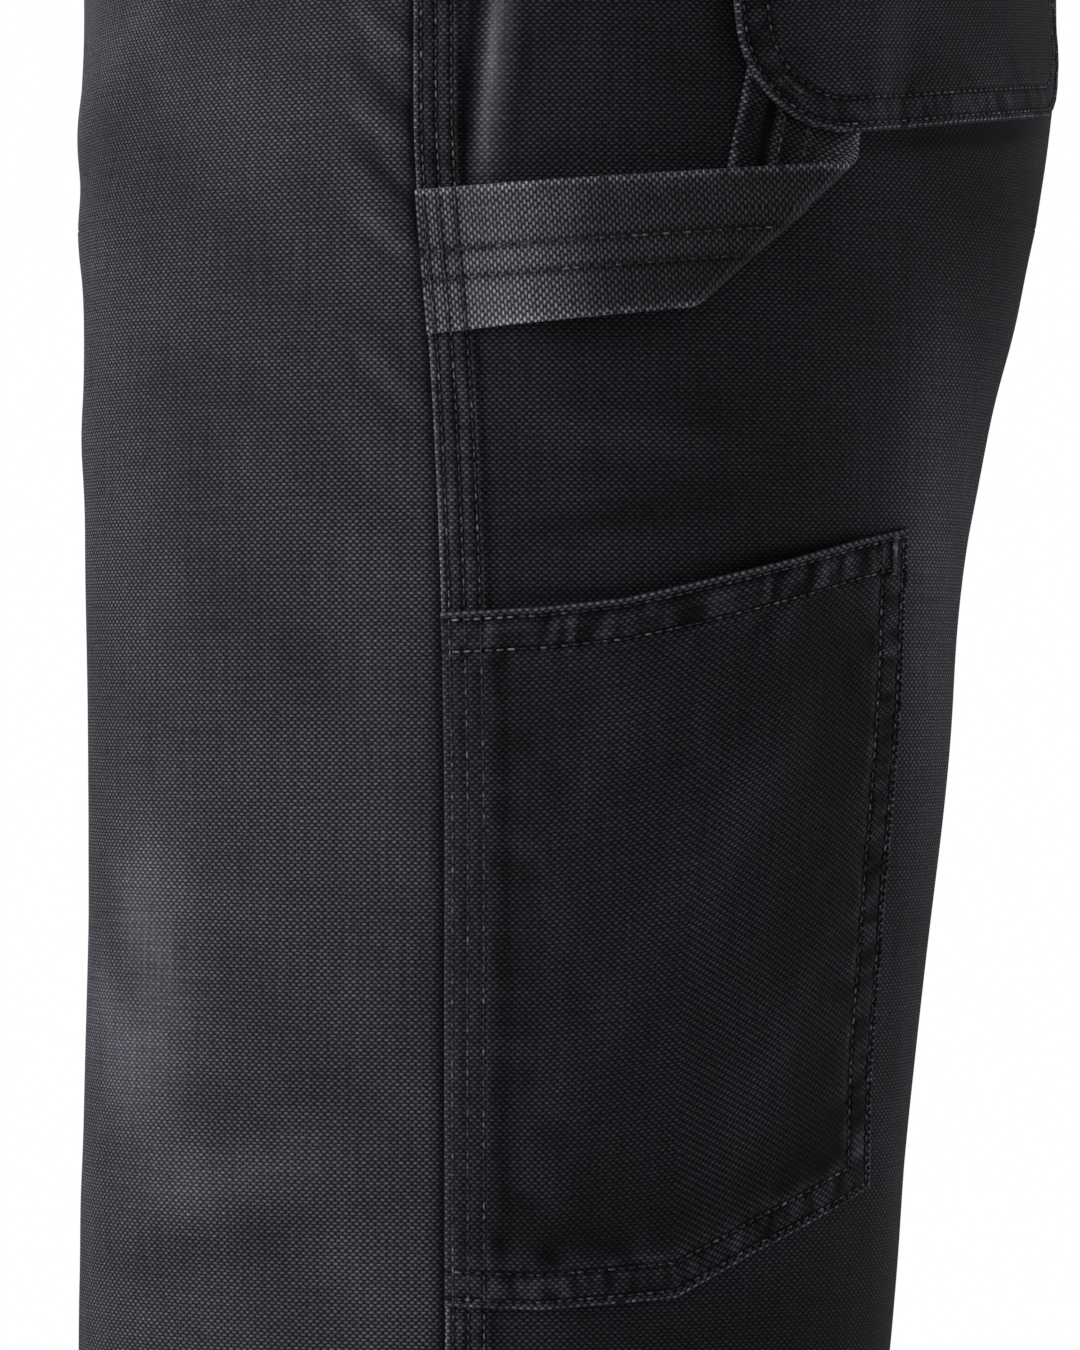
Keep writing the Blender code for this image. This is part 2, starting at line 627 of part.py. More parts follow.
for side, word in ((1, "left"), (-1, "right")):
    add_front("front_" + word, side, cloth_material("canvas_front_" + word, CANVAS))
    add_back("back_" + word, side, cloth_material("canvas_back_" + word, CANVAS))
    add_yoke("yoke_" + word, side, cloth_material("canvas_yoke_" + word, CANVAS))
    add_facing("pocket_facing_" + word, side, cloth_material("canvas_facing_" + word, CANVAS))
    add_back_pocket("back_pocket_" + word, side, cloth_material("canvas_pocket_" + word, CANVAS))

add_fly_shield(cloth_material("canvas_fly", CANVAS))
add_waistband(cloth_material("canvas_waistband", CANVAS))
add_button(cloth_material("button_metal", BRASS, roughness=0.45, metallic=1.0))
for index, turn_degrees in enumerate(LOOP_TURNS):
    loop_name = "belt_loop_" + str(index + 1)
    add_belt_loop(loop_name, turn_degrees, cloth_material("canvas_" + loop_name, CANVAS))
add_tool_pocket(cloth_material("canvas_tool_pocket", CANVAS))
add_hammer_loop(cloth_material("faded_canvas_loop", FADED))
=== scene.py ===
import json
import bpy
import numpy as np
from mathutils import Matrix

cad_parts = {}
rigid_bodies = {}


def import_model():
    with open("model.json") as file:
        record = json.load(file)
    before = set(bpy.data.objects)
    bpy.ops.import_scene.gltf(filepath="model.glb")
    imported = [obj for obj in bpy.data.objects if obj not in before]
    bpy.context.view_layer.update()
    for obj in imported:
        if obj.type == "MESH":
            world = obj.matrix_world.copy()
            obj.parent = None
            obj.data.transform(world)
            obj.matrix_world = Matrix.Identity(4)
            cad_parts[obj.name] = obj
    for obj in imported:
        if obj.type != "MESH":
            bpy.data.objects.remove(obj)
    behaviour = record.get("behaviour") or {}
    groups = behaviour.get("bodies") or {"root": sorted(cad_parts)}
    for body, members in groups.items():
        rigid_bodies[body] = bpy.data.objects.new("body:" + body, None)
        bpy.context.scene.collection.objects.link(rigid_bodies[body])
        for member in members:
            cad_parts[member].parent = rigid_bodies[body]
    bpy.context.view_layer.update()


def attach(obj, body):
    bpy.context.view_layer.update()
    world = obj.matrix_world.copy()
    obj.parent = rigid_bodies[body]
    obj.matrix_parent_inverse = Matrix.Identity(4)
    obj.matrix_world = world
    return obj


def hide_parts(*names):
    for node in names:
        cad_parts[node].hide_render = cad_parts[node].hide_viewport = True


print("work pants: loading the packed frame")
for existing in list(bpy.data.objects):
    bpy.data.objects.remove(existing, do_unlink=True)
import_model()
scene = bpy.context.scene


def linked(name, data):
    made = bpy.data.objects.new(name, data)
    scene.collection.objects.link(made)
    return made


# the photograph looks straight at the wearer's left thigh from some way off
photo = {
    "place": (1.709, 0.0, -0.3985),
    "turn": (90, 0, 90),
    "lens": 150,
    "sensor": 36,
}
cameraData = bpy.data.cameras.new("photoCamera")
cameraData.lens = photo["lens"]
cameraData.sensor_width = photo["sensor"]
cameraData.dof.use_dof = False
camera = linked("photoCamera", cameraData)
camera.location = photo["place"]
camera.rotation_euler = np.radians(photo["turn"]).tolist()
scene.camera = camera

print("work pants: the filled-out form")
# the same form as the solids: one row for each height, all in metres
form = {
    "columns": ("z", "outerX", "innerX", "frontY", "backY", "seamY"),
    "rows": np.array((
        (-1.085, 0.1860, 0.064, -0.0985, 0.0615, -0.020),
        (-0.850, 0.1800, 0.057, -0.1160, 0.0780, -0.024),
        (-0.700, 0.1770, 0.050, -0.1290, 0.0890, -0.027),
        (-0.600, 0.1765, 0.043, -0.1310, 0.0978, -0.026),
        (-0.500, 0.1780, 0.035, -0.1290, 0.1078, -0.026),
        (-0.420, 0.1815, 0.028, -0.1290, 0.1160, -0.026),
        (-0.360, 0.1855, 0.021, -0.1300, 0.1212, -0.0275),
        (-0.310, 0.1900, 0.012, -0.1305, 0.1318, -0.030),
        (-0.272, 0.1930, 0.000, -0.1312, 0.1415, -0.033),
        (-0.250, 0.1945, 0.000, -0.1326, 0.1470, -0.034),
        (-0.225, 0.1955, 0.000, -0.1355, 0.1522, -0.034),
        (-0.200, 0.1960, 0.000, -0.1372, 0.1547, -0.034),
        (-0.140, 0.1920, 0.000, -0.1375, 0.1560, -0.030),
        (-0.080, 0.1820, 0.000, -0.1370, 0.1500, -0.022),
        (-0.020, 0.1670, 0.000, -0.1340, 0.1390, -0.013),
        (0.020, 0.1620, 0.000, -0.1320, 0.1340, -0.010),
    )),
    "bandTop": 0.020,
    "bandFoot": -0.020,
    "crotchStart": -0.172,
    "crotch": -0.272,
    "hem": -1.085,
    "waistTilt": 0.12,
    "seamGap": 0.0003,
    "ringSteps": 121,
}
bandSeam = form["bandFoot"] - form["seamGap"]
cloth = {
    "thick": 0.0012,
    "patchGap": 0.0005,
    "felledWidth": 0.0125,
    "felledRise": 0.0012,
    "hemHeight": 0.013,
    "liningDepth": 0.0026,
}

# large soft folds: side 1 left, -1 right, 0 both, then place round the leg,
# height, turn in degrees, length, width and rise
legFolds = (
    (1, -0.100, -0.538, 11, 0.17, 0.014, 0.0017),
    (1, -0.055, -0.349, -37, 0.08, 0.011, 0.0010),
    (1, -0.200, -0.475, 62, 0.12, 0.020, -0.0022),
    (-1, -0.150, -0.450, 35, 0.14, 0.018, 0.0020),
    (0, -0.185, -0.240, 28, 0.14, 0.014, 0.0018),
    (0, -0.215, -0.285, 18, 0.14, 0.013, 0.0026),
    (0, -0.200, -0.335, 6, 0.13, 0.015, 0.0018),
    (1, -0.150, -0.650, 7, 0.22, 0.017, 0.0032),
    (-1, -0.140, -0.665, -5, 0.22, 0.017, 0.0032),
    (0, -0.140, -0.705, -8, 0.20, 0.016, -0.0028),
    (1, -0.130, -0.960, 12, 0.20, 0.016, 0.0030),
    (-1, -0.120, -0.975, -14, 0.20, 0.016, 0.0030),
    (0, -0.130, -1.030, -9, 0.20, 0.016, 0.0032),
    (0, 0.215, -0.318, -24, 0.15, 0.018, 0.0026),
    (0, 0.205, -0.362, -14, 0.15, 0.018, 0.0018),
    (1, 0.130, -0.630, 9, 0.20, 0.016, -0.0034),
    (-1, 0.126, -0.645, -5, 0.20, 0.017, -0.0034),
    (0, 0.120, -0.672, 3, 0.20, 0.015, 0.0038),
    (0, 0.120, -0.715, 8, 0.19, 0.016, -0.0030),
    (1, 0.110, -0.940, -15, 0.18, 0.017, 0.0030),
    (-1, 0.112, -0.960, 10, 0.19, 0.017, 0.0028),
    (0, 0.110, -1.020, 10, 0.19, 0.016, 0.0036),
    (0, -0.120, -0.792, 24, 0.12, 0.011, 0.0011),
    (0, 0.090, -0.800, -20, 0.12, 0.011, 0.0012),
    (0, 0.060, -0.885, 14, 0.11, 0.010, 0.0012),
    (0, -0.090, -0.885, -16, 0.11, 0.010, 0.0012),
    (0, -0.075, -1.060, 8, 0.12, 0.009, 0.0014),
    (0, 0.080, -1.062, -7, 0.12, 0.009, 0.0015),
)
# small creases beside the outseam, as the photograph shows on the left leg
sideCreases = (
    (1, -0.0105, -0.222, 84, 0.12, 0.0032, 0.0017),
    (1, -0.0165, -0.222, 85, 0.11, 0.0022, -0.0010),
    (1, -0.0440, -0.2250, -38, 0.034, 0.0030, 0.0006),
    (1, -0.0450, -0.2380, -42, 0.038, 0.0028, -0.0005),
    (1, -0.0440, -0.2500, -36, 0.034, 0.0030, 0.0007),
    (1, -0.0430, -0.2640, -44, 0.036, 0.0028, -0.0005),
    (1, -0.0420, -0.2790, -40, 0.036, 0.0034, 0.0006),
    (1, -0.0410, -0.3180, -48, 0.040, 0.0040, 0.0005),
    (1, 0.0300, -0.3350, -8, 0.090, 0.0080, 0.0007),
    (1, 0.0200, -0.3560, 9, 0.080, 0.0060, -0.0005),
    (0, 0.0050, -0.2000, 70, 0.080, 0.0060, 0.0008),
    (-1, -0.0100, -0.2300, 80, 0.100, 0.0050, 0.0010),
    (0, 0.0100, -0.6300, 35, 0.090, 0.0080, 0.0008),
    (0, -0.0600, -0.6050, -20, 0.090, 0.0080, 0.0008),
)


def smooth(value, start, end):
    part = np.clip((value - start) / (end - start), 0, 1)
    return part * part * (3 - 2 * part)


def window(value, start, full, fade, end):
    # rises from start to full, and falls again from fade to end
    return smooth(value, start, full) * (1 - smooth(value, fade, end))


def bell(away, width):
    return np.exp(-(away / width) ** 2)


def roundedEdge(away, radius=0.0008):
    # a quarter circle from 0 at the edge to 1
    return np.sqrt(np.clip(1 - (1 - np.clip(away / radius, 0, 1)) ** 2, 0, 1))


def softNoise(x, y, seed):
    # smooth noise from -1 to 1 over a unit grid, the same on every run
    cellX, cellY = np.floor(x), np.floor(y)
    partX, partY = x - cellX, y - cellY
    partX = partX * partX * (3 - 2 * partX)
    partY = partY * partY * (3 - 2 * partY)

    def corner(stepX, stepY):
        mixed = np.sin((cellX + stepX) * 127.1 + (cellY + stepY) * 311.7 + seed * 74.7) * 43758.5453
        return mixed - np.floor(mixed)

    low = corner(0, 0) * (1 - partX) + corner(1, 0) * partX
    high = corner(0, 1) * (1 - partX) + corner(1, 1) * partX
    return (low * (1 - partY) + high * partY) * 2 - 1


def formAt(name, z):
    heights = form["rows"][:, 0]
    values = form["rows"][:, form["columns"].index(name)]
    slopes = np.gradient(values, heights)
    row = np.clip(np.searchsorted(heights, z) - 1, 0, len(heights) - 2)
    step = heights[row + 1] - heights[row]
    t = (z - heights[row]) / step
    start = (2 * t**3 - 3 * t**2 + 1) * values[row] + (t**3 - 2 * t**2 + t) * step * slopes[row]
    end = (3 * t**2 - 2 * t**3) * values[row + 1] + (t**3 - t**2) * step * slopes[row + 1]
    return start + end


def ringAt(z):
    outer = formAt("outerX", z)
    drop = np.clip((form["crotchStart"] - z) / (form["crotchStart"] - form["crotch"]), 0, 1) ** 2
    inner = np.where(z > form["crotch"], outer * (drop - 1) / (drop + 1), formAt("innerX", z))
    centreX = (outer + inner) / 2
    halfWidth = (outer - inner) / 2
    centreY = (formAt("backY", z) + formAt("frontY", z)) / 2
    halfDepth = (formAt("backY", z) - formAt("frontY", z)) / 2
    last = np.arccos(-np.clip(centreX / halfWidth, 0, 1))
    return centreX, halfWidth, centreY, halfDepth, last


def tipped(x, y, z):
    return np.stack((x, y, z + form["waistTilt"] * y * smooth(z, -0.16, -0.02)), axis=-1)


def legPoint(angle, z):
    centreX, halfWidth, centreY, halfDepth, last = ringAt(z)
    x = form["seamGap"] / 2 + centreX + halfWidth * np.cos(angle)
    return tipped(x, centreY + halfDepth * np.sin(angle), z)


def trunkPoint(turn, z):
    centreX, halfWidth, centreY, halfDepth, last = ringAt(z)
    return tipped(halfWidth * np.sin(turn), centreY - halfDepth * np.cos(turn), z)


def ringLengths(z):
    # distance round the leg from the side line, then where the outseam lies
    centreX, halfWidth, centreY, halfDepth, last = ringAt(z)
    angle = last[:, None] * np.linspace(-1, 1, form["ringSteps"])[None, :]
    speed = np.hypot(halfWidth[:, None] * np.sin(angle), halfDepth[:, None] * np.cos(angle))
    pieces = (speed[:, 1:] + speed[:, :-1]) / 2 * np.diff(angle, axis=1)
    length = np.concatenate((np.zeros((len(z), 1)), np.cumsum(pieces, axis=1)), axis=1)
    side = np.arcsin(-centreY / halfDepth)
    seam = np.arcsin((formAt("seamY", z) - centreY) / halfDepth)
    sideLength = np.array([np.interp(a, row, s) for a, row, s in zip(side, angle, length)])
    seamLength = np.array([np.interp(a, row, s) for a, row, s in zip(seam, angle, length)])
    return angle, length - sideLength[:, None], seamLength - sideLength


# the seam and the two ends of the ring at close heights, looked up from here on
heightTable = np.linspace(form["hem"] - 0.002, form["bandTop"] + 0.002, 2400)
tableLengths = ringLengths(heightTable)


def seamPlace(z):
    return np.interp(z, heightTable, tableLengths[2])


def lastPlace(z, end):
    inset = np.where(np.asarray(z) > form["crotch"] + 1e-6, 0, form["seamGap"] / 2)
    if end > 0:
        return np.interp(z, heightTable, tableLengths[1][:, -1]) - inset
    return np.interp(z, heightTable, tableLengths[1][:, 0]) + inset


def lifted(angle, z, pointAt):
    step = 1e-4
    across = pointAt(angle + step, z) - pointAt(angle - step, z)
    up = pointAt(angle, z + step) - pointAt(angle, z - step)
    normal = np.cross(across, up)
    return pointAt(angle, z), normal / np.linalg.norm(normal, axis=-1)[..., None]


def foldSum(folds, side, place, z):
    total = np.zeros(np.shape(z))
    for foldSide, foldPlace, foldZ, turn, length, width, rise in folds:
        if foldSide in (0, side):
            cos, sin = np.cos(np.radians(turn)), np.sin(np.radians(turn))
            along = (place - foldPlace) * cos + (z - foldZ) * sin
            aside = (z - foldZ) * cos - (place - foldPlace) * sin
            ends = np.clip(1 - (2 * along / length) ** 2, 0, 1) ** 2
            total = total + rise * ends * bell(aside, width)
    return total


def legRelief(side, place, z):
    # folds and drape that every layer of cloth on the leg follows
    fromSeam = np.abs(place - seamPlace(z))
    fromEnd = np.minimum(place - lastPlace(z, -1), lastPlace(z, 1) - place)
    large = foldSum(legFolds, side, place, z) * smooth(fromSeam, 0.004, 0.045)
    drape = 0.0007 * softNoise(place / 0.055, z / 0.085, 3 + side)
    drape = drape + 0.00035 * softNoise(place / 0.021 + z * 12, z / 0.034, 8 + side)
    drape = drape * smooth(fromSeam, 0.002, 0.030) * smooth(-z, 0.05, 0.16)
    small = foldSum(sideCreases, side, place, z)
    return (large + drape) * smooth(fromEnd, 0.0, 0.035) + small


def onLeg(side, place, z, *lifts, relief=True):
    # points by place round the leg and height, one set for each lift off the form
    place, z = np.broadcast_arrays(np.asarray(place, float), np.asarray(z, float))
    flatPlace, flatZ = place.ravel(), z.ravel()
    found = np.empty(len(flatZ))
    for start in range(0, len(flatZ), 6000):
        stop = start + 6000
        angle, length, seam = ringLengths(flatZ[start:stop])
        rings = zip(flatPlace[start:stop], length, angle)
        found[start:stop] = [np.interp(p, s, row) for p, s, row in rings]
    base, normal = lifted(found, flatZ, legPoint)
    extra = legRelief(side, place, z) if relief else np.zeros(place.shape)
    layers = []
    for lift in lifts:
        total = (np.broadcast_to(lift, place.shape) + extra).ravel()
        layers.append((base + normal * total[:, None]).reshape(place.shape + (3,)))
    return layers


def onTrunk(turn, z, *lifts):
    turn, z = np.broadcast_arrays(np.asarray(turn, float), np.asarray(z, float))
    base, normal = lifted(turn, z, trunkPoint)
    return [base + normal * np.broadcast_to(lift, turn.shape)[..., None] for lift in lifts]


outseamRows = (0.0024, 0.0065, 0.0108)


def felledLift(place, z, start=0.0120, end=0.0134):
    # the folded outseam: a rounded edge at the seam and a soft step at its other side
    away = place - seamPlace(z)
    edge = roundedEdge(away, 0.0009)
    rise = cloth["felledRise"] * (0.25 + 0.75 * edge) * (1 - smooth(away, start, end))
    pull = 0.00022 * softNoise(z / 0.0044 + away * 200, away / 0.0042, 21)
    pull = pull + 0.00013 * softNoise(z / 0.0017, away / 0.0030, 22)
    pull = pull * window(away, 0.0008, 0.003, 0.011, 0.017)
    for row in outseamRows:
        pull = pull - 0.00034 * bell(away - row, 0.0008)
    return np.where(away >= 0, rise + pull, 0)


def spacedLines(*stops):
    # grid lines from (start, end, spacing) stretches that follow each other
    lines = [np.array([stops[0][0]])]
    for start, end, spacing in stops:
        count = max(1, int(round(abs(end - start) / spacing)))
        lines.append(np.linspace(start, end, count + 1)[1:])
    return np.concatenate(lines)


def makeSheet(name, outer, inner, clothUv, seamUv, material, side=1, wearAndShading=0.0, inside=0.0, **told):
    # a closed piece of cloth between two grids of points, with its own UV maps
    rows, columns = outer.shape[:2]
    count = rows * columns
    number = np.arange(count).reshape(rows, columns)
    points = np.concatenate((outer.reshape(-1, 3), inner.reshape(-1, 3)))
    points[:, 0] *= side
    quads = np.stack((number[:-1, :-1], number[:-1, 1:], number[1:, 1:], number[1:, :-1]), axis=-1)
    quads = quads.reshape(-1, 4)
    faces = [quads, quads[:, ::-1] + count]
    for edge in (number[0, :], number[:, -1], number[-1, ::-1], number[::-1, 0]):
        first, second = edge[:-1], edge[1:]
        faces.append(np.stack((second, first, first + count, second + count), axis=-1))
    faces = np.concatenate(faces)
    corner = points[faces]
    volume = np.einsum("ij,ij->i", corner[:, 0], np.cross(corner[:, 1], corner[:, 2])).sum()
    volume += np.einsum("ij,ij->i", corner[:, 0], np.cross(corner[:, 2], corner[:, 3])).sum()
    if volume < 0:
        faces = faces[:, ::-1]
    mesh = bpy.data.meshes.new(name)
    mesh.from_pydata(points.tolist(), [], faces.tolist())
    used = np.array([loop.vertex_index for loop in mesh.loops])
    for mapName, values in (("clothMap", clothUv), ("seamMap", seamUv)):
        flat = np.stack([np.broadcast_to(v, (rows, columns)).ravel() for v in values], axis=-1)
        layer = mesh.uv_layers.new(name=mapName)
        layer.data.foreach_set("uv", np.concatenate((flat, flat))[used].ravel().astype(np.float32))
    # one value per point for each face, outer then inner: wear and fading together with painted light and
    # shade
    amounts = [np.broadcast_to(amount, (rows, columns)).ravel() for amount in (wearAndShading, inside)]
    layer = mesh.attributes.new("wearAndShading", "FLOAT", "POINT")
    layer.data.foreach_set("value", np.concatenate(amounts).astype(np.float32))
    mesh.materials.append(material)
    mesh.shade_smooth()
    mesh.set_sharp_from_angle(angle=np.radians(58))
    finishSheet(linked(name, mesh), name, outer, **told)


def flatSize(outer):
    # the cut's width and length and its area, measured on the cloth's own face
    across = np.linalg.norm(np.diff(outer, axis=1), axis=-1).sum(axis=1)
    down = np.linalg.norm(np.diff(outer, axis=0), axis=-1).sum(axis=0)
    one = np.cross(outer[:-1, 1:] - outer[:-1, :-1], outer[1:, :-1] - outer[:-1, :-1])
    two = np.cross(outer[:-1, 1:] - outer[1:, 1:], outer[1:, :-1] - outer[1:, 1:])
    area = (np.linalg.norm(one, axis=-1).sum() + np.linalg.norm(two, axis=-1).sum()) / 2
    return float(across.max()), float(down.max()), float(area)


def finishSheet(piece, node, outer, slotName="canvas", held="hung", restsOn=()):
    width, length, area = flatSize(outer)
    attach(piece, "root")
    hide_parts(node)
    area = min(area, width * length)
    print("  %-22s %.3f x %.3f m, %.4f m2" % (piece.name, width, length, area))


print("work pants: the finishes")


class Amount:
    # a number in a shader, so that its maths is written as in Python

    def __init__(self, finish, socket):
        self.finish = finish
        self.socket = socket

    def math(self, operation, *values, clamp=False):
        settings = {"operation": operation, "use_clamp": clamp}
        return self.finish.node("ShaderNodeMath", settings, *values)

    def __add__(self, other):
        return self.math("ADD", self, other)

    def __radd__(self, other):
        return self.math("ADD", other, self)

    def __sub__(self, other):
        return self.math("SUBTRACT", self, other)

    def __rsub__(self, other):
        return self.math("SUBTRACT", other, self)

    def __mul__(self, other):
        return self.math("MULTIPLY", self, other)

    def __rmul__(self, other):
        return self.math("MULTIPLY", other, self)

    def __truediv__(self, other):
        return self.math("DIVIDE", self, other)

    def __neg__(self):
        return self.math("MULTIPLY", self, -1)

    def wave(self):
        return self.math("SINE", self)

    def size(self):
        return self.math("ABSOLUTE", self)

    def held(self):
        return self.math("ADD", self, 0, clamp=True)

    def bell(self, centre, width):
        away = (self - centre) / width
        return self.math("EXPONENT", -(away * away))

    def ramp(self, low, high):
        return ((self - low) / (high - low)).held()


class Finish:
    # one material, with a method that adds any node from its type, settings and inputs

    def __init__(self, name):
        self.material = bpy.data.materials.new(name)
        self.material.use_nodes = True
        self.nodes = self.material.node_tree.nodes
        self.links = self.material.node_tree.links
        self.shader = self.nodes["Principled BSDF"]

    def plug(self, socket, value):
        if isinstance(value, Amount):
            value = value.socket
        if isinstance(value, bpy.types.NodeSocket):
            self.links.new(value, socket)
        else:
            socket.default_value = value

    def node(self, kind, settings, *values, output=0, **named):
        made = self.nodes.new(kind)
        for key, value in settings.items():
            setattr(made, key, value)
        for socket, value in zip(made.inputs, values):
            self.plug(socket, value)
        for key, value in named.items():
            self.plug(made.inputs[key], value)
        return Amount(self, made.outputs[output])

    def mapParts(self, mapName):
        vector = self.node("ShaderNodeUVMap", {"uv_map": mapName})
        parts = self.node("ShaderNodeSeparateXYZ", {}, vector)
        return parts, Amount(self, parts.socket.node.outputs[1])

    def noise(self, x, y, scale, detail=2.0, z=0.0):
        vector = self.node("ShaderNodeCombineXYZ", {}, x, y, z)
        return self.node("ShaderNodeTexNoise", {}, Vector=vector, Scale=scale, Detail=detail)

    def speckle(self, scale, detail):
        place = self.node("ShaderNodeTexCoord", {}, output=3)
        return self.node("ShaderNodeTexNoise", {}, Vector=place, Scale=scale, Detail=detail)

    def mix(self, amount, first, second):
        made = self.nodes.new("ShaderNodeMix")
        made.data_type = "RGBA"
        self.plug(made.inputs["Factor"], amount)
        self.plug(made.inputs[6], first)
        self.plug(made.inputs[7], second)
        return made.outputs[2]

    def done(self, values):
        for name, value in values.items():
            self.plug(self.shader.inputs[name], value)
        return self.material


canvasLook = {
    "warp": 0.00101,
    "weft": 0.00093,
    "warpWander": 0.00062,
    "weftWander": 0.00048,
    "scales": {"wander": 260.0, "yarn": 105.0, "slub": 900.0, "fuzz": 2600.0, "wash": 26.0,
               "cloud": 9.0, "edge": 330.0, "pucker": 210.0},
    "dark": (0.0026, 0.0026, 0.0040, 1),
    "light": (0.258, 0.2595, 0.303, 1),
    "fadedLight": (0.475, 0.478, 0.538, 1),
    "weave": 2.9,
    "threadRow": 0.00085,
    "sheen": 0.06,
}


def canvasFinish(name, base, rows=(), turned=False, rise=1.0, edge=0.0, light="light", washed=1.0):
    # plain duck weave with slubs, uneven wash, pale worn edges and sunk stitch rows
    finish = Finish(name)
    u, v = finish.mapParts("clothMap")
    if turned:
        u, v = v, u
    along, away = finish.mapParts("seamMap")
    # wear and fading from the pieces, together with painted light and shade
    wearAndShading = finish.node("ShaderNodeAttribute", {"attribute_name": "wearAndShading"}, output=2)
    scales = canvasLook["scales"]
    wander = finish.noise(u, v, scales["wander"]) - 0.5
    warp = (u + wander * canvasLook["warpWander"]) * (np.pi / canvasLook["warp"])
    weft = (v + wander * canvasLook["weftWander"]) * (np.pi / canvasLook["weft"])
    across = weft.wave()
    # each yarn shows as a dash, set half a step along in the next row
    floats = 0.5 * (across.size() + warp.wave() * across)
    yarnAcross = finish.noise(u * 9, v * 0.35, scales["yarn"])
    yarnDown = finish.noise(u * 0.35, v * 9, scales["yarn"], z=3.0)
    slubs = finish.noise(u, v, scales["slub"], detail=3.0)
    fuzz = finish.noise(u, v, scales["fuzz"], detail=1.0, z=9.0)
    # the wash leaves soft fades that lean down towards the outseam
    wash = finish.noise((u - v) * 0.45, (u + v) * 0.80, scales["wash"], detail=3.0)
    cloud = finish.noise((u - v) * 0.55, (u + v) * 0.90, scales["cloud"], z=5.0)
    sewn = away.bell(rows[0], canvasLook["threadRow"]) if rows else None
    for row in rows[1:]:
        sewn = sewn + away.bell(row, canvasLook["threadRow"])
    level = 1 + 0.95 * (yarnAcross - 0.5) + 0.80 * (yarnDown - 0.5)
    level = level + washed * (0.95 * (wash - 0.5) + 0.95 * (cloud - 0.5))
    level = (base + wearAndShading) * level
    if edge:
        broken = finish.noise(along, away, scales["edge"], detail=1.0, z=7.0)
        level = level + edge * away.bell(0.0008, 0.0009) * broken.ramp(0.30, 0.62)
    if rows:
        # painted light and shade of small puckers beside the rows, as mottling, then painted shade in the
        # sunk rows
        pucker = finish.noise(along, away * 0.6, scales["pucker"]) - 0.5
        level = level * (1 + 2.4 * pucker * (1 - away.ramp(rows[-1], rows[-1] + 0.004)))
        level = level * (1 - 0.78 * sewn.held())
    # the nap hides the weave where the cloth is rubbed most and where painted highlight is strongest
    weave = canvasLook["weave"] * (1 - 1.1 * wearAndShading.held())
    tone = level * (1 + weave * (floats * (2.0 * slubs) - 0.318)) * (0.20 + 1.6 * fuzz)
    colour = finish.mix((tone * 0.5).held(), canvasLook["dark"], canvasLook[light])
    height = floats + 0.55 * slubs + 0.35 * yarnAcross + 0.30 * yarnDown
    if rows:
        height = height - 1.9 * sewn
    normal = finish.node("ShaderNodeBump", {}, Strength=0.75 * rise, Distance=0.00026, Height=height)
    return finish.done({"Base Color": colour, "Roughness": 0.80 + 0.16 * wash, "Normal": normal,
                        "Specular IOR Level": 0.10, "Sheen Weight": canvasLook["sheen"],
                        "Sheen Roughness": 0.45, "Sheen Tint": (0.55, 0.56, 0.64, 1)})


def threadFinish(name, dark, light, pale=0.50):
    # twisted thread, tone on tone with the canvas and paler where it has rubbed
    finish = Finish(name)
    spots = finish.speckle(420.0, 2.0)
    fine = finish.speckle(2600.0, 1.0)
    tone = (3.4 * (spots - pale) + 0.8 * (fine - 0.5)).held()
    normal = finish.node("ShaderNodeBump", {}, Strength=0.4, Distance=0.00015, Height=fine)
    return finish.done({"Base Color": finish.mix(tone, dark, light), "Normal": normal, "Roughness": 0.62,
                        "Specular IOR Level": 0.35})


def metalFinish(name):
    finish = Finish(name)
    rub = finish.speckle(260.0, 4.0)
    tone = (2.2 * (rub - 0.28)).held()
    colour = finish.mix(tone, (0.030, 0.026, 0.022, 1), (0.21, 0.18, 0.14, 1))
    return finish.done({"Base Color": colour, "Roughness": 0.34 + 0.3 * rub, "Metallic": 1.0})


pocketRows = (0.0022, 0.0092)
frontCanvas = canvasFinish("frontCanvas", base=0.262, washed=1.25)
backCanvas = canvasFinish("backCanvas", base=0.148, rows=outseamRows, edge=0.42)
yokeCanvas = canvasFinish("yokeCanvas", base=0.17, rows=outseamRows, edge=0.25)
pocketCanvas = canvasFinish("pocketCanvas", base=0.132, rows=pocketRows, edge=0.50)
bandCanvas = canvasFinish("bandCanvas", base=0.19, rows=(0.0022,), edge=0.25, turned=True)
loopCanvas = canvasFinish("fadedCanvas", base=0.35, turned=True, rise=1.2, edge=0.38, light="fadedLight")
darkThread = threadFinish("darkThread", (0.014, 0.014, 0.018, 1), (0.250, 0.252, 0.275, 1))
rubbedThread = threadFinish("rubbedThread", (0.030, 0.030, 0.036, 1), (0.480, 0.482, 0.510, 1),
                            pale=0.40)
buttonMetal = metalFinish("buttonMetal")

print("work pants: leg panels")
panel = {
    "frontColumn": 0.0042,
    "backColumn": 0.0046,
    "thighRow": 0.0017,
    "calfRow": 0.0052,
    "shownFoot": -0.610,
    "scoopWidth": 0.105,
    "scoopRows": 40,
    "crotchRows": 54,
    "crotchTurns": (90, 78, 66, 54, 42, 31, 20, 10, 0),
    "yokeSide": -0.050,
    "yokeBack": -0.080,
    "hemRow": 0.0112,
    "seamRows": (0.0024, 0.0088),
    "edgeRows": (0.0026, 0.0090),
}


def crotchRows(count):
    # level rows at the sides, with the crotch's rise that they bend to at its middle
    level = np.linspace(form["crotchStart"], form["crotch"], count + 1)[1:]
    part, known = np.linspace(0, 1, count + 1)[1:], np.linspace(0, 1, len(panel["crotchTurns"]))
    turn = np.interp(part, known, panel["crotchTurns"])
    drop = form["crotchStart"] - form["crotch"]
    rise = form["crotchStart"] - drop * np.sqrt(np.clip(np.cos(np.radians(turn)), 0, 1))
    return level, rise


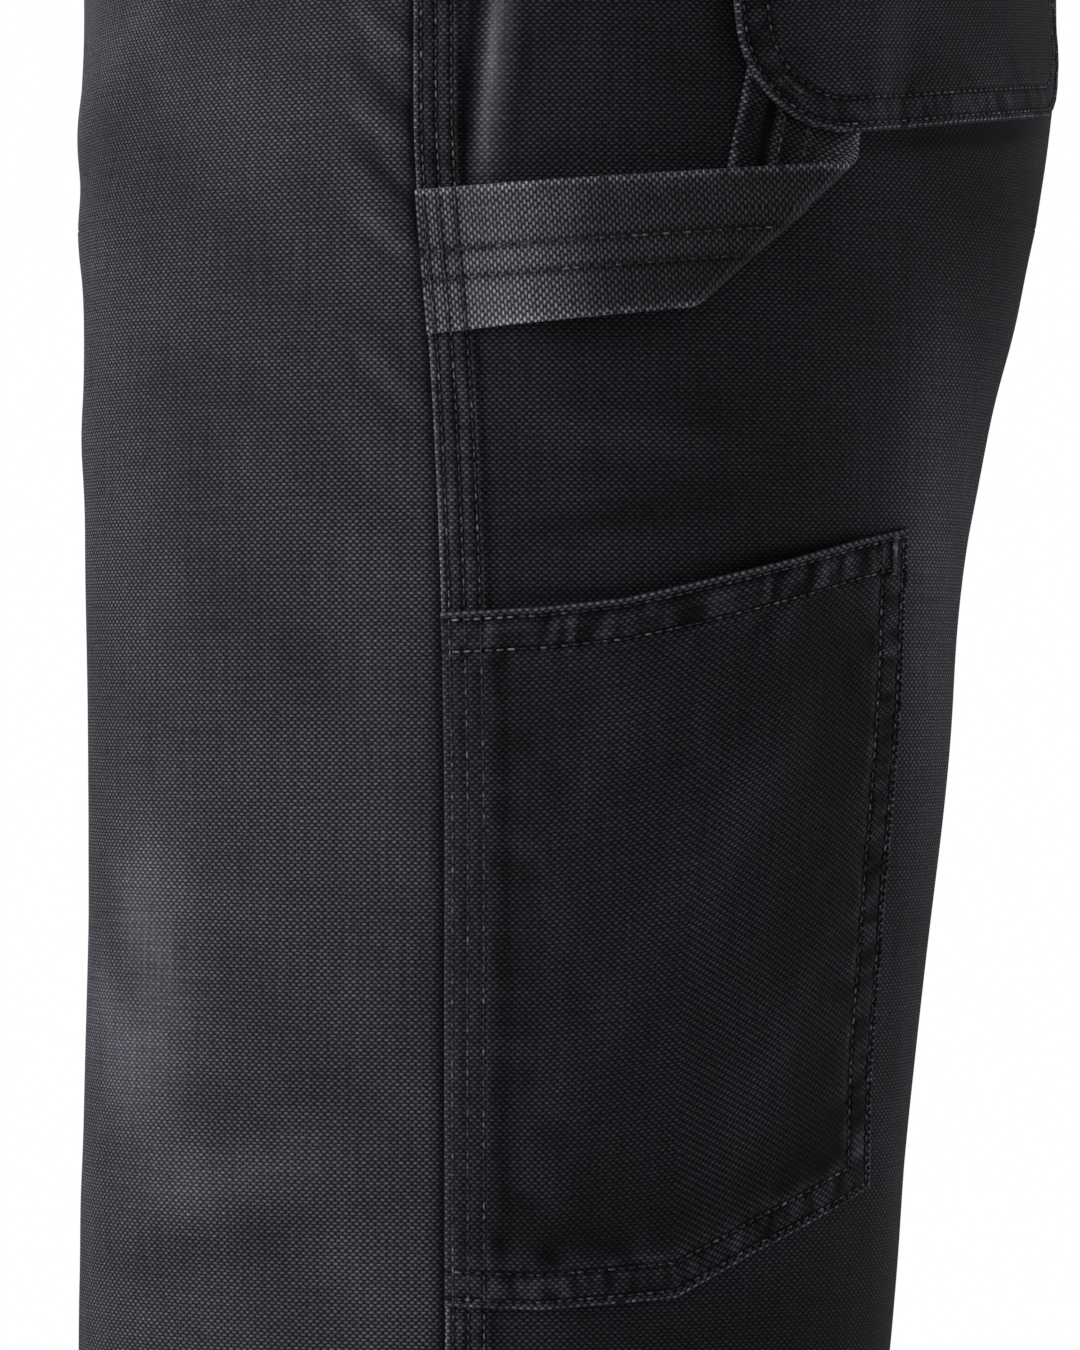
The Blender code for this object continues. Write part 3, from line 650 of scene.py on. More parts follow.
def panelHeights(topRows, across):
    level, rise = crotchRows(panel["crotchRows"])
    bent = level[:, None] + (rise - level)[:, None] * across[None, :] ** 2
    foot = form["hem"] + cloth["hemHeight"]
    legs = spacedLines((form["crotch"], panel["shownFoot"], panel["thighRow"]),
                       (panel["shownFoot"], foot + 0.003, panel["calfRow"]),
                       (foot + 0.003, foot - 0.001, 0.001), (foot - 0.001, form["hem"] + 0.0006, 0.0028),
                       (form["hem"] + 0.0006, form["hem"], 0.0003))[1:]
    return np.concatenate((topRows, bent, legs[:, None] + 0 * across[None, :]), axis=0)


def hemDepth(z):
    # the hem is turned up inside, so the wall is twice as thick there
    return cloth["thick"] * (1 + (z < form["hem"] + cloth["hemHeight"]))


def hemPinch(z):
    # the rounded foot edge, and the dip along the hem's stitching
    foot = smooth(z, form["hem"], form["hem"] + 0.0012)
    sewn = bell(z - form["hem"] - panel["hemRow"], 0.0016)
    return -0.0005 * (1 - foot) - 0.00025 * sewn


tuckedHeights = bandSeam + np.array((0.0063, 0.0033, 0.0006))


def tuckedLift(z):
    # the seam allowance steps back under the waistband and runs up inside it
    return -0.0013 * smooth(z, form["bandFoot"] - 0.0011, form["bandFoot"] + 0.0001)


def scoopReach(z, foot, width):
    height = np.clip((z - foot) / (bandSeam - foot), 0, 1)
    return width * np.sqrt(1 - (1 - height) ** 2)


def scoopHeights(curve, foot):
    return foot + (bandSeam - foot) * (1 - np.cos(curve))


def scoopStart(z):
    return seamPlace(z) - form["seamGap"] / 2 - scoopReach(z, form["crotchStart"], panel["scoopWidth"])


def makeFront(name, side):
    width = 0.31
    across = spacedLines((0, 0.0008, 0.0004), (0.0008, 0.026, 0.0016), (0.026, width, panel["frontColumn"]))
    across = across / width
    curve = np.radians(np.linspace(90, 0, panel["scoopRows"] + 1))
    top = np.concatenate((tuckedHeights, scoopHeights(curve, form["crotchStart"])))
    z = panelHeights(top[:, None] + 0 * across[None, :], across)
    start = scoopStart(z)
    place = start + (lastPlace(z, -1) - start) * across[None, :]
    edge = start - place
    # the front sinks a little where it runs under the outseam, and rolls at the pocket's mouth
    low = z < form["crotchStart"]
    mouth = 0.0004 * bell(edge - 0.003, 0.003) - 0.0005 * bell(edge, 0.0006)
    rolled = np.where(low, -0.0004 * bell(edge, 0.0022), mouth) + tuckedLift(z)
    outer, inner = onLeg(side, place, z, rolled + hemPinch(z), rolled - hemDepth(z))
    # painted shadow along the front's edge where it runs under the outseam; the fold, patch and stroke
    # terms add wear with painted light and shade
    shade = 0.24 * bell(edge, 0.0020) * low
    wearAndShading = foldWearAndShade(side, place, z) + fadeAndPaintedLightAt(side, outer) + foldSum(paintedShadeAndHighlight, side, place, z) - shade
    makeSheet(name, outer, inner, (place, z), (z, edge), frontCanvas, side, wearAndShading)


# broad patches, partly washed-out fading and partly painted light: painted highlight on bulges and ridges,
# painted shade towards the back. Each gives side, then y and z of its centre, its reach in y and in z, and
# its amount
fadesAndPaintedLight = (
    (1, -0.112, -0.492, 0.015, 0.035, 0.42),
    (1, -0.105, -0.420, 0.010, 0.050, 0.06),
    (1, -0.085, -0.560, 0.040, 0.030, 0.04),
    (1, -0.055, -0.330, 0.030, 0.022, -0.03),
    (1, -0.042, -0.440, 0.014, 0.120, 0.07),
    (1, -0.0105, -0.225, 0.007, 0.030, 0.06),
    (1, 0.050, -0.235, 0.022, 0.020, -0.02),
    (1, 0.075, -0.335, 0.035, 0.050, -0.03),
    (1, 0.125, -0.265, 0.026, 0.036, -0.09),
    (1, 0.110, -0.370, 0.012, 0.060, 0.23),
    (1, -0.036, -0.238, 0.010, 0.050, -0.06),
    (1, -0.027, -0.245, 0.008, 0.030, -0.03),
    (1, -0.024, -0.345, 0.008, 0.030, 0.05),
    (1, 0.050, -0.330, 0.030, 0.030, -0.02),
    (1, 0.088, -0.530, 0.014, 0.060, -0.05),
    (1, 0.060, -0.588, 0.070, 0.026, -0.08),
    (-1, -0.108, -0.470, 0.014, 0.040, 0.13),
    (-1, -0.080, -0.380, 0.030, 0.050, 0.05),
    (-1, 0.090, -0.420, 0.030, 0.060, 0.04),
    (0, -0.100, -0.700, 0.030, 0.070, 0.08),
    (0, -0.060, -0.880, 0.030, 0.050, 0.04),
    (0, 0.150, -0.215, 0.020, 0.040, 0.05),
    (0, 0.040, -0.760, 0.030, 0.080, 0.04),
    (0, 0.000, -1.070, 0.120, 0.014, 0.06),
)


# painted shade in creases, painted shadow close under the pockets' edges, and painted highlight
# along the ridges: side, then as in the folds
paintedShadeAndHighlight = (
    (1, -0.0105, -0.2220, 84, 0.120, 0.0045, 0.48),
    (1, -0.0580, -0.3480, -35, 0.080, 0.0070, -0.07),
    (1, -0.0470, -0.3380, -35, 0.080, 0.0070, 0.05),
    (1, -0.0850, -0.5360, 17, 0.130, 0.0090, 0.06),
    (1, -0.0850, -0.5540, 17, 0.120, 0.0080, -0.06),
    (1, -0.1160, -0.4720, -56, 0.060, 0.0060, 0.20),
    (1, -0.1260, -0.4840, -56, 0.050, 0.0060, -0.20),
    (1, -0.0400, -0.2650, -48, 0.050, 0.0030, -0.07),
    (1, -0.0400, -0.2520, -48, 0.050, 0.0028, -0.06),
    (-1, -0.0900, -0.3600, -40, 0.090, 0.0080, -0.06),
    (-1, -0.1000, -0.5200, 20, 0.110, 0.0090, 0.06),
    (1, 0.0100, -0.3765, 3, 0.070, 0.0030, -0.10),
    (1, 0.0720, -0.3655, 13, 0.110, 0.0032, -0.11),
    (1, 0.1095, -0.4500, -86, 0.190, 0.0032, -0.07),
    (0, 0.1400, -0.2480, 7, 0.170, 0.0034, -0.11),
    (0, 0.0475, -0.1950, -84, 0.120, 0.0034, -0.10),
    (1, 0.0150, -0.3050, 5, 0.080, 0.0060, -0.05),
)


def fadeAndPaintedLightAt(side, points):
    total = np.zeros(points.shape[:-1])
    for fadeSide, y, z, alongY, alongZ, amount in fadesAndPaintedLight:
        if fadeSide in (0, side):
            away = ((points[..., 1] - y) / alongY) ** 2 + ((points[..., 2] - z) / alongZ) ** 2
            total = total + amount * np.exp(-away)
    return total


def foldWearAndShade(side, place, z, most=0.10):
    # wear fades the tops of folds, with painted highlight there too, and painted shade darkens the dips
    relief = legRelief(side, place, z)
    near = (legRelief(side, place + 0.006, z) + legRelief(side, place - 0.006, z)
            + legRelief(side, place, z + 0.006) + legRelief(side, place, z - 0.006)) / 4
    return np.clip((relief - near) * 360, -most, most * 1.3)


def bandWear(away):
    # the folded outseam is rubbed pale on its first welt, and less on the next two
    return 0.14 * bell(away - 0.0010, 0.0016) + 0.055 * (1 - smooth(away, 0.0105, 0.0135))


def backPlaces(z, extra):
    start = seamPlace(z) + extra[None, :]
    final = extra[-1]
    end = lastPlace(z, 1)
    fixed = 0.040
    stretch = np.clip((extra - fixed) / (final - fixed), 0, 1)[None, :]
    near = seamPlace(z) + np.minimum(extra, fixed)[None, :]
    place = near + (end - seamPlace(z) - fixed) * stretch
    place[:, 0] = seamPlace(z[:, 0]) + form["seamGap"] / 2
    return place


backLines = spacedLines((0.00015, 0.0009, 0.00025), (0.0009, 0.0145, 0.0005), (0.0145, 0.040, 0.0017),
                        (0.040, 0.32, panel["backColumn"]))
backShares = (backLines - backLines[0]) / (backLines[-1] - backLines[0])


def yokeLine(across):
    return panel["yokeSide"] + (panel["yokeBack"] - panel["yokeSide"]) * across


def yokeLip(toFoot):
    # the yoke laps over the back and stands up along its lower edge
    return 0.0009 * np.exp(-(toFoot / 0.009) ** 4)


def makeBack(name, side):
    part = np.linspace(0, 1, 38)[:, None]
    top = yokeLine(backShares)[None, :] - form["seamGap"] / 2
    z = panelHeights(top + (form["crotchStart"] - top) * part, backShares)
    place = backPlaces(z, backLines)
    rise = felledLift(place, z) + hemPinch(z)
    outer, inner = onLeg(side, place, z, rise, -hemDepth(z))
    away = place - seamPlace(z)
    # fold, patch and stroke terms: wear and fading with painted light and shade
    wearAndShading = foldWearAndShade(side, place, z, 0.14) + fadeAndPaintedLightAt(side, outer) + foldSum(paintedShadeAndHighlight, side, place, z)
    wearAndShading = wearAndShading + bandWear(away)
    makeSheet(name, outer, inner, (place, z), (z, away), backCanvas, side, wearAndShading)


def makeYoke(name, side):
    part = spacedLines((0, 0.96, 0.06), (0.96, 1, 0.01))[:, None]
    foot = yokeLine(backShares)[None, :] + form["seamGap"] / 2
    z = (bandSeam - 0.0008) * (1 - part) + foot * part
    z = np.concatenate((tuckedHeights[:, None] + 0 * foot, z[:1] + 0.0008, z))
    place = backPlaces(z, backLines)
    low = smooth(-z, -form["bandFoot"] - 0.0001, -form["bandFoot"] + 0.0012)
    rise = felledLift(place, z) * low + yokeLip(z - foot) + tuckedLift(z)
    outer, inner = onLeg(side, place, z, rise, tuckedLift(z) - cloth["thick"])
    away = place - seamPlace(z)
    makeSheet(name, outer, inner, (place, z), (z, away), yokeCanvas, side, 0.05)


def makeFacing(name, side):
    across = np.linspace(0, 1, 26)[None, :]
    foot = form["crotchStart"] - 0.010
    curve = np.radians(np.linspace(90, 12, 40))[:, None]
    z = scoopHeights(curve, foot) + 0 * across
    z = np.concatenate((tuckedHeights[:, None] + 0 * across, z))
    start = seamPlace(z) + 0.008
    end = seamPlace(z) - scoopReach(z, foot, panel["scoopWidth"] + 0.010)
    place = start + (end - start) * across
    depth = cloth["liningDepth"]
    outer, inner = onLeg(side, place, z, -depth, -depth - cloth["thick"], relief=False)
    makeSheet(name, outer, inner, (place, z), (z, z * 0 + 1), frontCanvas, side, -0.08)


sides = (("left", 1), ("right", -1))
for sideWord, side in sides:
    makeFront("front_" + sideWord, side)
    makeBack("back_" + sideWord, side)
    makeYoke("yoke_" + sideWord, side)
    makeFacing("pocket_facing_" + sideWord, side)

print("work pants: pockets")
backPocket = {
    "topSide": (0.0380, -0.0930),
    "topBack": (0.2020, -0.0890),
    "footSide": (0.0560, -0.2548),
    "footBack": (0.2130, -0.2356),
    "size": 0.162,
    "corner": 0.032,
    "gap": 0.00075,
    "rows": (0.0022, 0.0092),
    "strapBump": 0.0033,
    "bumpSides": (0.0225, 0.040),
    "bumpEnd": (0.008, 0.034),
}
toolPocket = {
    "along": (0.00, 0.20, 0.36, 0.50, 0.68, 0.86, 1.00),
    "topZ": (-0.3814, -0.3800, -0.3775, -0.3730, -0.3672, -0.3612, -0.3574),
    "footZ": (-0.5703, -0.5715, -0.5702, -0.5690, -0.5575, -0.5480, -0.5412),
    "topRight": 0.1100,
    "footRight": 0.1005,
    "fullness": 0.0024,
    "mouth": 0.0016,
    "width": 0.133,
    "height": 0.188,
    "hemRows": (0.0022, 0.0108),
    "rows": (0.0022, 0.0095),
    "slantSpot": (0.034, -0.4645),
    "slantLean": 0.56,
    "slantShare": 0.87,
    "overSeam": (0.3806, 0.3820, 0.5695, 0.5708),
}
strap = {
    "cloth": 0.0016,
    "start": (-0.0318, -0.2870),
    "slope": 4.9,
    "widthSeam": 0.0390,
    "widthFold": 0.0355,
    "foldPoint": (0.0590, -0.2775),
    "foldSlope": 41.5,
    "foldRadius": 0.0032,
    "frontLift": 0.0092,
    "liftSpan": (0.0125, 0.048),
    "tuckLift": 0.0013,
    "tuckStart": 0.0005,
    "tuckLength": 0.0065,
    "tuckLean": 0.024,
    "rearLength": 0.056,
    "stitchParts": (0.065, -0.135),
    "steps": (90, 17, 56),
    "gap": 0.00045,
    "overSeam": (0.2678, 0.2688, 0.3052, 0.3062),
}
edgeLines = np.array((0.0, 0.00012, 0.00035, 0.0008))


def edgedLines(length, spacing):
    # grid lines over a length, closer together at its folded edges to round them
    start, end = edgeLines, length - edgeLines[::-1]
    count = max(2, int(round((end[0] - start[-1]) / spacing)))
    return np.concatenate((start, np.linspace(start[-1], end[0], count + 1)[1:-1], end))


def sewnPucker(along, away, rows, seed):
    # cloth drawn up between rows of stitches, and sunk under the thread
    inside = window(away, 0.0003, 0.0015, rows[-1], rows[-1] + 0.006)
    pull = 0.00026 * softNoise(along / 0.0042 + away * 90, away / 0.0070, seed)
    pull = pull + 0.00020 * softNoise(along / 0.0019, away / 0.0060, seed + 1)
    sunk = sum(bell(away - row, 0.0008) for row in rows)
    beyond = 0.00036 * softNoise(along / 0.0070 + away * 60, away / 0.012, seed + 2)
    beyond = beyond * window(away, rows[-1], rows[-1] + 0.003, 0.012, 0.026)
    return pull * inside - 0.00026 * sunk + beyond


def ropeEdge(along, away):
    # the folded edge stands up as a rope outside its first row of stitches
    twist = 1 + 0.35 * softNoise(along / 0.0021, away / 0.0040, 85)
    return 0.00050 * twist * bell(away - 0.0009, 0.0008)


def puckerShading(along, away, rows, seed, most):
    # short stripes across the hem: painted highlight on the ridges and painted shade between
    inside = window(away, 0.0016, 0.0030, rows[-1] - 0.0010, rows[-1])
    stripes = np.clip(softNoise(along / 0.0025 + away * 60, away / 0.0110, seed), -0.30, 1)
    ledge = bell(away - rows[-1] - 0.0017, 0.0008)
    drawn = np.clip(softNoise(along / 0.0034, away / 0.0110, seed + 4) + 0.3, 0, 1)
    return most * (inside * stripes + 0.5 * ledge * drawn)


def strapAngles():
    slope, fold = np.radians(strap["slope"]), np.radians(strap["foldSlope"])
    return slope, fold, 2 * fold - slope


def rearStrapPlace(place, z):
    rear = strapAngles()[2]
    x, y = strap["foldPoint"]
    aside = (place - x) * np.sin(rear) - (z - y) * np.cos(rear)
    return aside, (place - x) * np.cos(rear) + (z - y) * np.sin(rear)


def backPocketSpot(p, q):
    u, v = p / backPocket["size"], q / backPocket["size"]
    corners = [np.array(backPocket[key]) for key in ("topSide", "topBack", "footSide", "footBack")]
    weights = ((1 - u) * (1 - v), u * (1 - v), (1 - u) * v, u * v)
    place = sum(w * c[0] for w, c in zip(weights, corners))
    return place, sum(w * c[1] for w, c in zip(weights, corners))


def backPocketRise(side, p, q):
    place, z = backPocketSpot(p, q)
    u, v = p / backPocket["size"], q / backPocket["size"]
    rise = backPocket["gap"] + 0.0006 * np.sin(np.pi * np.clip(u, 0, 1)) * (1 - v)
    if side > 0:
        aside, along = rearStrapPlace(place, z)
        over = 1 - smooth(np.abs(aside), *backPocket["bumpSides"])
        past = smooth(along - strap["rearLength"], *backPocket["bumpEnd"])
        rise = rise + backPocket["strapBump"] * over * (1 - past)
    return rise


def backPocketAway(p, q):
    # distance in from the folded edge, with the two round lower corners
    size, corner = backPocket["size"], backPocket["corner"]
    sides = np.minimum(p, size - p)
    foot = size - q
    rounded = corner - np.hypot(corner - sides, corner - foot)
    low = np.where((sides < corner) & (foot < corner), rounded, np.minimum(sides, foot))
    return np.clip(np.minimum(low, q), 0, 1)


def makeBackPocket(name, side):
    size, corner = backPocket["size"], backPocket["corner"]
    half = np.radians(np.linspace(0, 90, 22))
    near = (1 - np.cos(half)) * corner
    p = np.concatenate((near, np.linspace(corner, size - corner, 90)[1:-1], size - near[::-1]))
    fromEdge = np.minimum(p, size - p)
    cut = corner - np.sqrt(corner**2 - np.clip(corner - fromEdge, 0, corner) ** 2)
    down = edgedLines(size, 0.0010) / size
    q = down[:, None] * (size - cut)[None, :]
    p = p[None, :] + 0 * q
    place, z = backPocketSpot(p, q)
    away = backPocketAway(p, q)
    along = np.where(np.minimum(p, size - p) < size - q, q, p)
    rise = backPocketRise(side, p, q)
    pucker = sewnPucker(along, away, backPocket["rows"], 31)
    crease = 0.00035 * softNoise(p / 0.026, q / 0.040, 37) * smooth(away, 0.006, 0.02)
    thick = cloth["thick"] * (0.30 + 0.70 * roundedEdge(away)) + pucker + crease + ropeEdge(along, away)
    outer, inner = onLeg(side, place, z, rise + thick, rise)
    # painted highlight on raised puckers and painted shade in their dips, and pucker stripes of the same
    # along the rows
    wearAndShading = np.clip(pucker * 160, -0.05, 0.08) + puckerShading(along, away, backPocket["rows"], 33, 0.15)
    rubbed = ((p - 0.034) / 0.020) ** 2 + ((q - 0.128) / 0.020) ** 2
    wearAndShading = wearAndShading + 0.08 * np.exp(-rubbed) * smooth(away, 0.0095, 0.0115)
    wearAndShading = wearAndShading + 0.03 * softNoise(p / 0.03, q / 0.03, 39)
    makeSheet(name, outer, inner, (p, q), (along, away), pocketCanvas, side, wearAndShading)


def toolPocketSpot(u, v):
    top = np.interp(u, toolPocket["along"], toolPocket["topZ"])
    foot = np.interp(u, toolPocket["along"], toolPocket["footZ"])
    z = top * (1 - v) + foot * v
    right = toolPocket["topRight"] + (toolPocket["footRight"] - toolPocket["topRight"]) * smooth(v, 0, 0.9)
    left = seamPlace(z) + form["seamGap"] / 2
    return left + (right - left) * u, z


def fromSlant(place, z):
    # distance from the slanting fold that runs down the pocket's middle
    slantPlace, slantZ = toolPocket["slantSpot"]
    return ((place - slantPlace) - (z - slantZ) * toolPocket["slantLean"]) * toolPocket["slantShare"]


def toolPocketRise(place, z, u, v):
    full = smooth(u, 0.16, 0.5) * smooth(1 - u, 0.06, 0.4)
    fold = bell(fromSlant(place, z), 0.013) * smooth(v, 0.02, 0.25) * smooth(1 - v, 0.05, 0.3)
    rise = cloth["patchGap"] + felledLift(place, z, 0.0136, 0.0185)
    body = toolPocket["fullness"] * full * (0.35 + 0.65 * smooth(1 - v, 0.05, 0.5))
    return rise + body * (0.50 + 0.50 * fold) + toolPocket["mouth"] * full * (1 - smooth(v, 0.0, 0.22))


def toolPocketAway(u, v):
    # distance from the mouth, and from the sewn right side and foot
    p, q = u * toolPocket["width"], v * toolPocket["height"]
    side = toolPocket["width"] - p
    foot = toolPocket["height"] - q
    return p, q, np.minimum(side, foot)


def makeToolPocket(name):
    u = (edgedLines(toolPocket["width"], 0.0008) / toolPocket["width"])[None, :]
    v = (edgedLines(toolPocket["height"], 0.0008) / toolPocket["height"])[:, None]
    u, v = np.broadcast_arrays(u, v)
    place, z = toolPocketSpot(u, v)
    p, q, sewn = toolPocketAway(u, v)
    rise = toolPocketRise(place, z, u, v)
    along = np.where(toolPocket["width"] - p < toolPocket["height"] - q, q, p)
    pucker = sewnPucker(along, sewn, toolPocket["rows"], 41) * smooth(q, 0.004, 0.014)
    pucker = pucker + sewnPucker(p, q, toolPocket["hemRows"], 45) * smooth(sewn, 0.002, 0.012)
    beside = place - seamPlace(z) - 0.012
    pull = 0.00030 * softNoise(z / 0.0070 + beside * 50, beside / 0.010, 48)
    pucker = pucker + pull * window(beside, 0.0, 0.003, 0.010, 0.030)
    drape = 0.00045 * softNoise(p / 0.020 + q * 18, q / 0.034, 51)
    drape = drape + 0.00022 * softNoise(p / 0.008, q / 0.012, 53)
    drape = drape * smooth(np.minimum(sewn, q), 0.008, 0.03) * smooth(p, 0.015, 0.04)
    edge = roundedEdge(np.minimum(np.minimum(sewn, q), p + 0.0002))
    thick = cloth["thick"] * (0.30 + 0.70 * edge) + pucker + drape + ropeEdge(along, np.minimum(sewn, q))
    outer, inner = onLeg(1, place, z, rise + thick, rise)
    light = 0.045 * bell(fromSlant(place, z), 0.011) * smooth(v, 0.1, 0.4) * smooth(1 - v, 0.1, 0.4)
    # painted highlight on the ridges and the slanting fold, painted shade in the dips, and painted light
    # and shade along the puckered sides and hem
    wearAndShading = np.clip(pucker * 160, -0.05, 0.08) + np.clip(drape * 60, -0.03, 0.03) + light
    wearAndShading = wearAndShading + puckerShading(along, sewn, toolPocket["rows"], 43, 0.17) * smooth(q, 0.004, 0.012)
    wearAndShading = wearAndShading + puckerShading(p, q, toolPocket["hemRows"], 47, 0.24) * smooth(sewn, 0.002, 0.010)
    # paler still where the hem and the pocket's side lie over the outseam
    wearAndShading = wearAndShading + (0.02 + 0.07 * (1 - smooth(p, 0.014, 0.034))) * (1 - smooth(q, 0.0095, 0.0135))
    wearAndShading = wearAndShading + bandWear(place - seamPlace(z)) * (1 - smooth(p, 0.013, 0.017))
    # painted shade, darker towards the foot and the right side
    wearAndShading = wearAndShading - 0.075 * smooth(v, 0.70, 0.95) * smooth(sewn, 0.008, 0.016) - 0.05 * smooth(u, 0.6, 0.9)
    # the hem is wider than the sides, so its rows are drawn in to the material's
    hemAway = np.interp(q, (0, *toolPocket["hemRows"], toolPocket["height"]),
                        (0, *toolPocket["rows"], toolPocket["height"]))
    makeSheet(name, outer, inner, (p, q), (along, np.minimum(sewn, hemAway)), toolCanvas, 1, wearAndShading)


def strapGrid(parts, offset):
    # one face of the strap: the front run, the bend at the fold and the rear run
    steps = strap["steps"]
    slope, fold, rear = strapAngles()
    between = fold - slope
    forward = np.array((np.cos(slope), np.sin(slope)))
    upward = np.array((-np.sin(slope), np.cos(slope)))
    outward = np.array((np.sin(fold), -np.cos(fold)))
    start = np.array(strap["start"])
    foldX = (np.array(strap["foldPoint"]) - start) @ forward
    foldY = (np.array(strap["foldPoint"]) - start) @ upward
    radius = strap["foldRadius"]
    bend = np.pi * radius
    low = cloth["felledRise"] + strap["gap"] + strap["cloth"] / 2
    layers, lengths = [], []
    for part, faceOffset in zip(parts, np.broadcast_to(offset, len(parts))):
        crossing = foldX + (strap["widthFold"] * part - foldY) / np.tan(between)
        seamZ = start[1] + strap["widthSeam"] * part / np.cos(slope)
        first = (seamPlace(seamZ) + form["seamGap"] / 2 - start[0]) / np.cos(slope)
        first = first + strap["widthSeam"] * part * np.tan(slope)
        overBand = spacedLines((0, 0.0006, 0.0002), (0.0006, 0.0150, 0.0006))
        front = np.concatenate((first + overBand, np.linspace(first + 0.0160, crossing, steps[0])))
        turning = crossing + np.linspace(0, bend, steps[1])[1:] / np.sin(between)
        finish = foldX + bend / np.sin(between) + strap["rearLength"]
        behind = np.linspace(turning[-1], finish, steps[2])[1:]
        x = np.concatenate((front, turning, behind))
        y = part * np.interp(x, (0, crossing), (strap["widthSeam"], strap["widthFold"]))
        flat = start + x[:, None] * forward + y[:, None] * upward
        beyond = (x - crossing) * np.sin(between)
        foot = flat - beyond[:, None] * outward
        angle = np.clip(beyond / radius, 0, np.pi)
        out = radius + faceOffset
        shift = np.where(beyond < 0, beyond, np.where(beyond > bend, bend - beyond, out * np.sin(angle)))
        spot = foot + shift[:, None] * outward
        fromSeam = x - first
        rising = low + (strap["frontLift"] - low) * smooth(fromSeam, *strap["liftSpan"])
        rearLength = np.clip(beyond - bend, 0, 1) / np.sin(between)
        falling = strap["frontLift"] - 2 * radius
        settled = strap["tuckLength"] + strap["tuckLean"] * (0.5 - part)
        falling = falling + (strap["tuckLift"] - falling) * smooth(rearLength, strap["tuckStart"], settled)
        middle = np.where(beyond > bend, falling + radius, rising - radius)
        lift = middle + out * np.cos(angle)
        ripple = strapRipple(x, y, fromSeam) * np.cos(angle)
        layers.append(onLeg(1, spot[:, 0], spot[:, 1], lift + ripple, relief=False)[0])
        lengths.append(np.stack((x, y + 0 * x, fromSeam, beyond / bend), axis=-1))
    return np.array(layers), np.array(lengths)


def strapRows(y, fromSeam, width, seamShare):
    rows = sum(bell(y - part * strap["widthSeam"], width) for part in strap["stitchParts"])
    return rows + seamShare * sum(bell(fromSeam - row, 0.0009) for row in outseamRows)


def strapRipple(x, y, fromSeam):
    # soft ribs along the strap, and the cloth drawn down at its two stitched rows
    rows = strapRows(y, fromSeam, 0.0011, 0.8)
    wave = 0.00024 * softNoise(x / 0.016, y / 0.0046, 61)
    wave = wave + 0.00018 * softNoise(x / 0.0048, y / 0.0050, 63)
    return (wave - 0.00030 * rows) * smooth(fromSeam, 0.0, 0.0012)


def makeHammerLoop(name):
    half = (edgedLines(strap["widthFold"], 0.0007) / strap["widthFold"] - 0.5)[::-1]
    thin = strap["cloth"] / 2 * (0.30 + 0.70 * roundedEdge((0.5 - np.abs(half)) * strap["widthFold"]))
    outer, spots = strapGrid(half, thin)
    inner, spots = strapGrid(half, -thin)
    x, y, fromSeam, turned = [spots[..., column] for column in range(4)]
    away = (0.5 - np.abs(half))[:, None] * strap["widthFold"] + 0 * x
    rows = strapRows(y, fromSeam, 0.0012, 1)
    # painted light: palest just past the outseam and falling off towards the fold, darker over the outseam
    # itself, with painted shade along the sewn rows
    wearAndShading = 0.05 * softNoise(x / 0.03, y / 0.01, 66) + 0.12 - 0.32 * smooth(x, 0.014, 0.052)
    wearAndShading = wearAndShading - 0.09 * smooth(x, 0.056, 0.1) + 0.03 * bell(turned - 0.35, 0.35)
    wearAndShading = wearAndShading - 0.07 * (1 - smooth(fromSeam, 0.009, 0.015))
    wearAndShading = (wearAndShading + 0.36) * (1 - 0.6 * np.clip(rows, 0, 1)) - 0.36
    # its inner face, seen on the rear run: darker overall, with painted shadow along a crease, and painted
    # highlight on a ridge and on the fold's rim
    inside = 0.05 * softNoise(x / 0.006, y / 0.004, 67) - 0.255 + 0.22 * (1 - smooth(turned, 1.00, 1.40))
    inside = inside - 0.14 * bell(y + 0.0090, 0.0014) + 0.12 * bell(y + 0.0060, 0.0009)
    makeSheet(name, outer, inner, (x, y), (x, away), loopCanvas, 1, wearAndShading, inside,
              slotName="faded_canvas", held="folded")


toolCanvas = canvasFinish("toolCanvas", base=0.128, rows=toolPocket["rows"], edge=0.50)
for sideWord, side in sides:
    makeBackPocket("back_pocket_" + sideWord, side)
makeToolPocket("tool_pocket")
makeHammerLoop("hammer_loop")

print("work pants: waistband, fly and belt loops")
waist = {
    "bandLift": 0.0018,
    "bandCloth": 0.0026,
    "endX": -0.020,
    "underlapX": 0.030,
    "underlapDepth": 0.0030,
    "underlapBend": (-0.048, -0.024),
    "halfWidth": 0.165,
    "rows": 0.0024,
    "loopTurns": (36, 97, 141, 180, 219, 263, 324),
    "loopWidth": 0.012,
    "loopRow": 0.0038,
    "loopTacks": ((-0.0355, 0.0017), (0.0168, 0.0035)),
    "loopCloth": 0.0012,
    "loopZ": (-0.0380, -0.0290, -0.0235, -0.0165, -0.0050, 0.0060, 0.0115, 0.0145, 0.0195),
    "loopLift": (0.00095, 0.00095, 0.00370, 0.00600, 0.00630, 0.00600, 0.00420, 0.00275, 0.00275),
}
fly = {
    "left": -0.008,
    "width": 0.048,
    "curveTop": -0.128,
    "curve": 0.036,
    "stitchReach": 0.038,
}
button = {
    "profile": ((0.0000, 0.0000), (0.0076, 0.0000), (0.0083, 0.0003), (0.0085, 0.0008), (0.0085, 0.0014),
                (0.0082, 0.0020), (0.0076, 0.0025), (0.0069, 0.0027), (0.0063, 0.0026), (0.0058, 0.0022),
                (0.0054, 0.0019), (0.0030, 0.0018), (0.0000, 0.0019)),
    "steps": 48,
}


def bandLift(turn):
    start, end = [2 * np.pi + np.arcsin(x / waist["halfWidth"]) for x in waist["underlapBend"]]
    return waist["bandLift"] - waist["underlapDepth"] * smooth(turn, start, end)


def bandTurns(count):
    start = np.arcsin(waist["endX"] / waist["halfWidth"])
    end = 2 * np.pi + np.arcsin(waist["underlapX"] / waist["halfWidth"])
    return np.linspace(start, end, count)


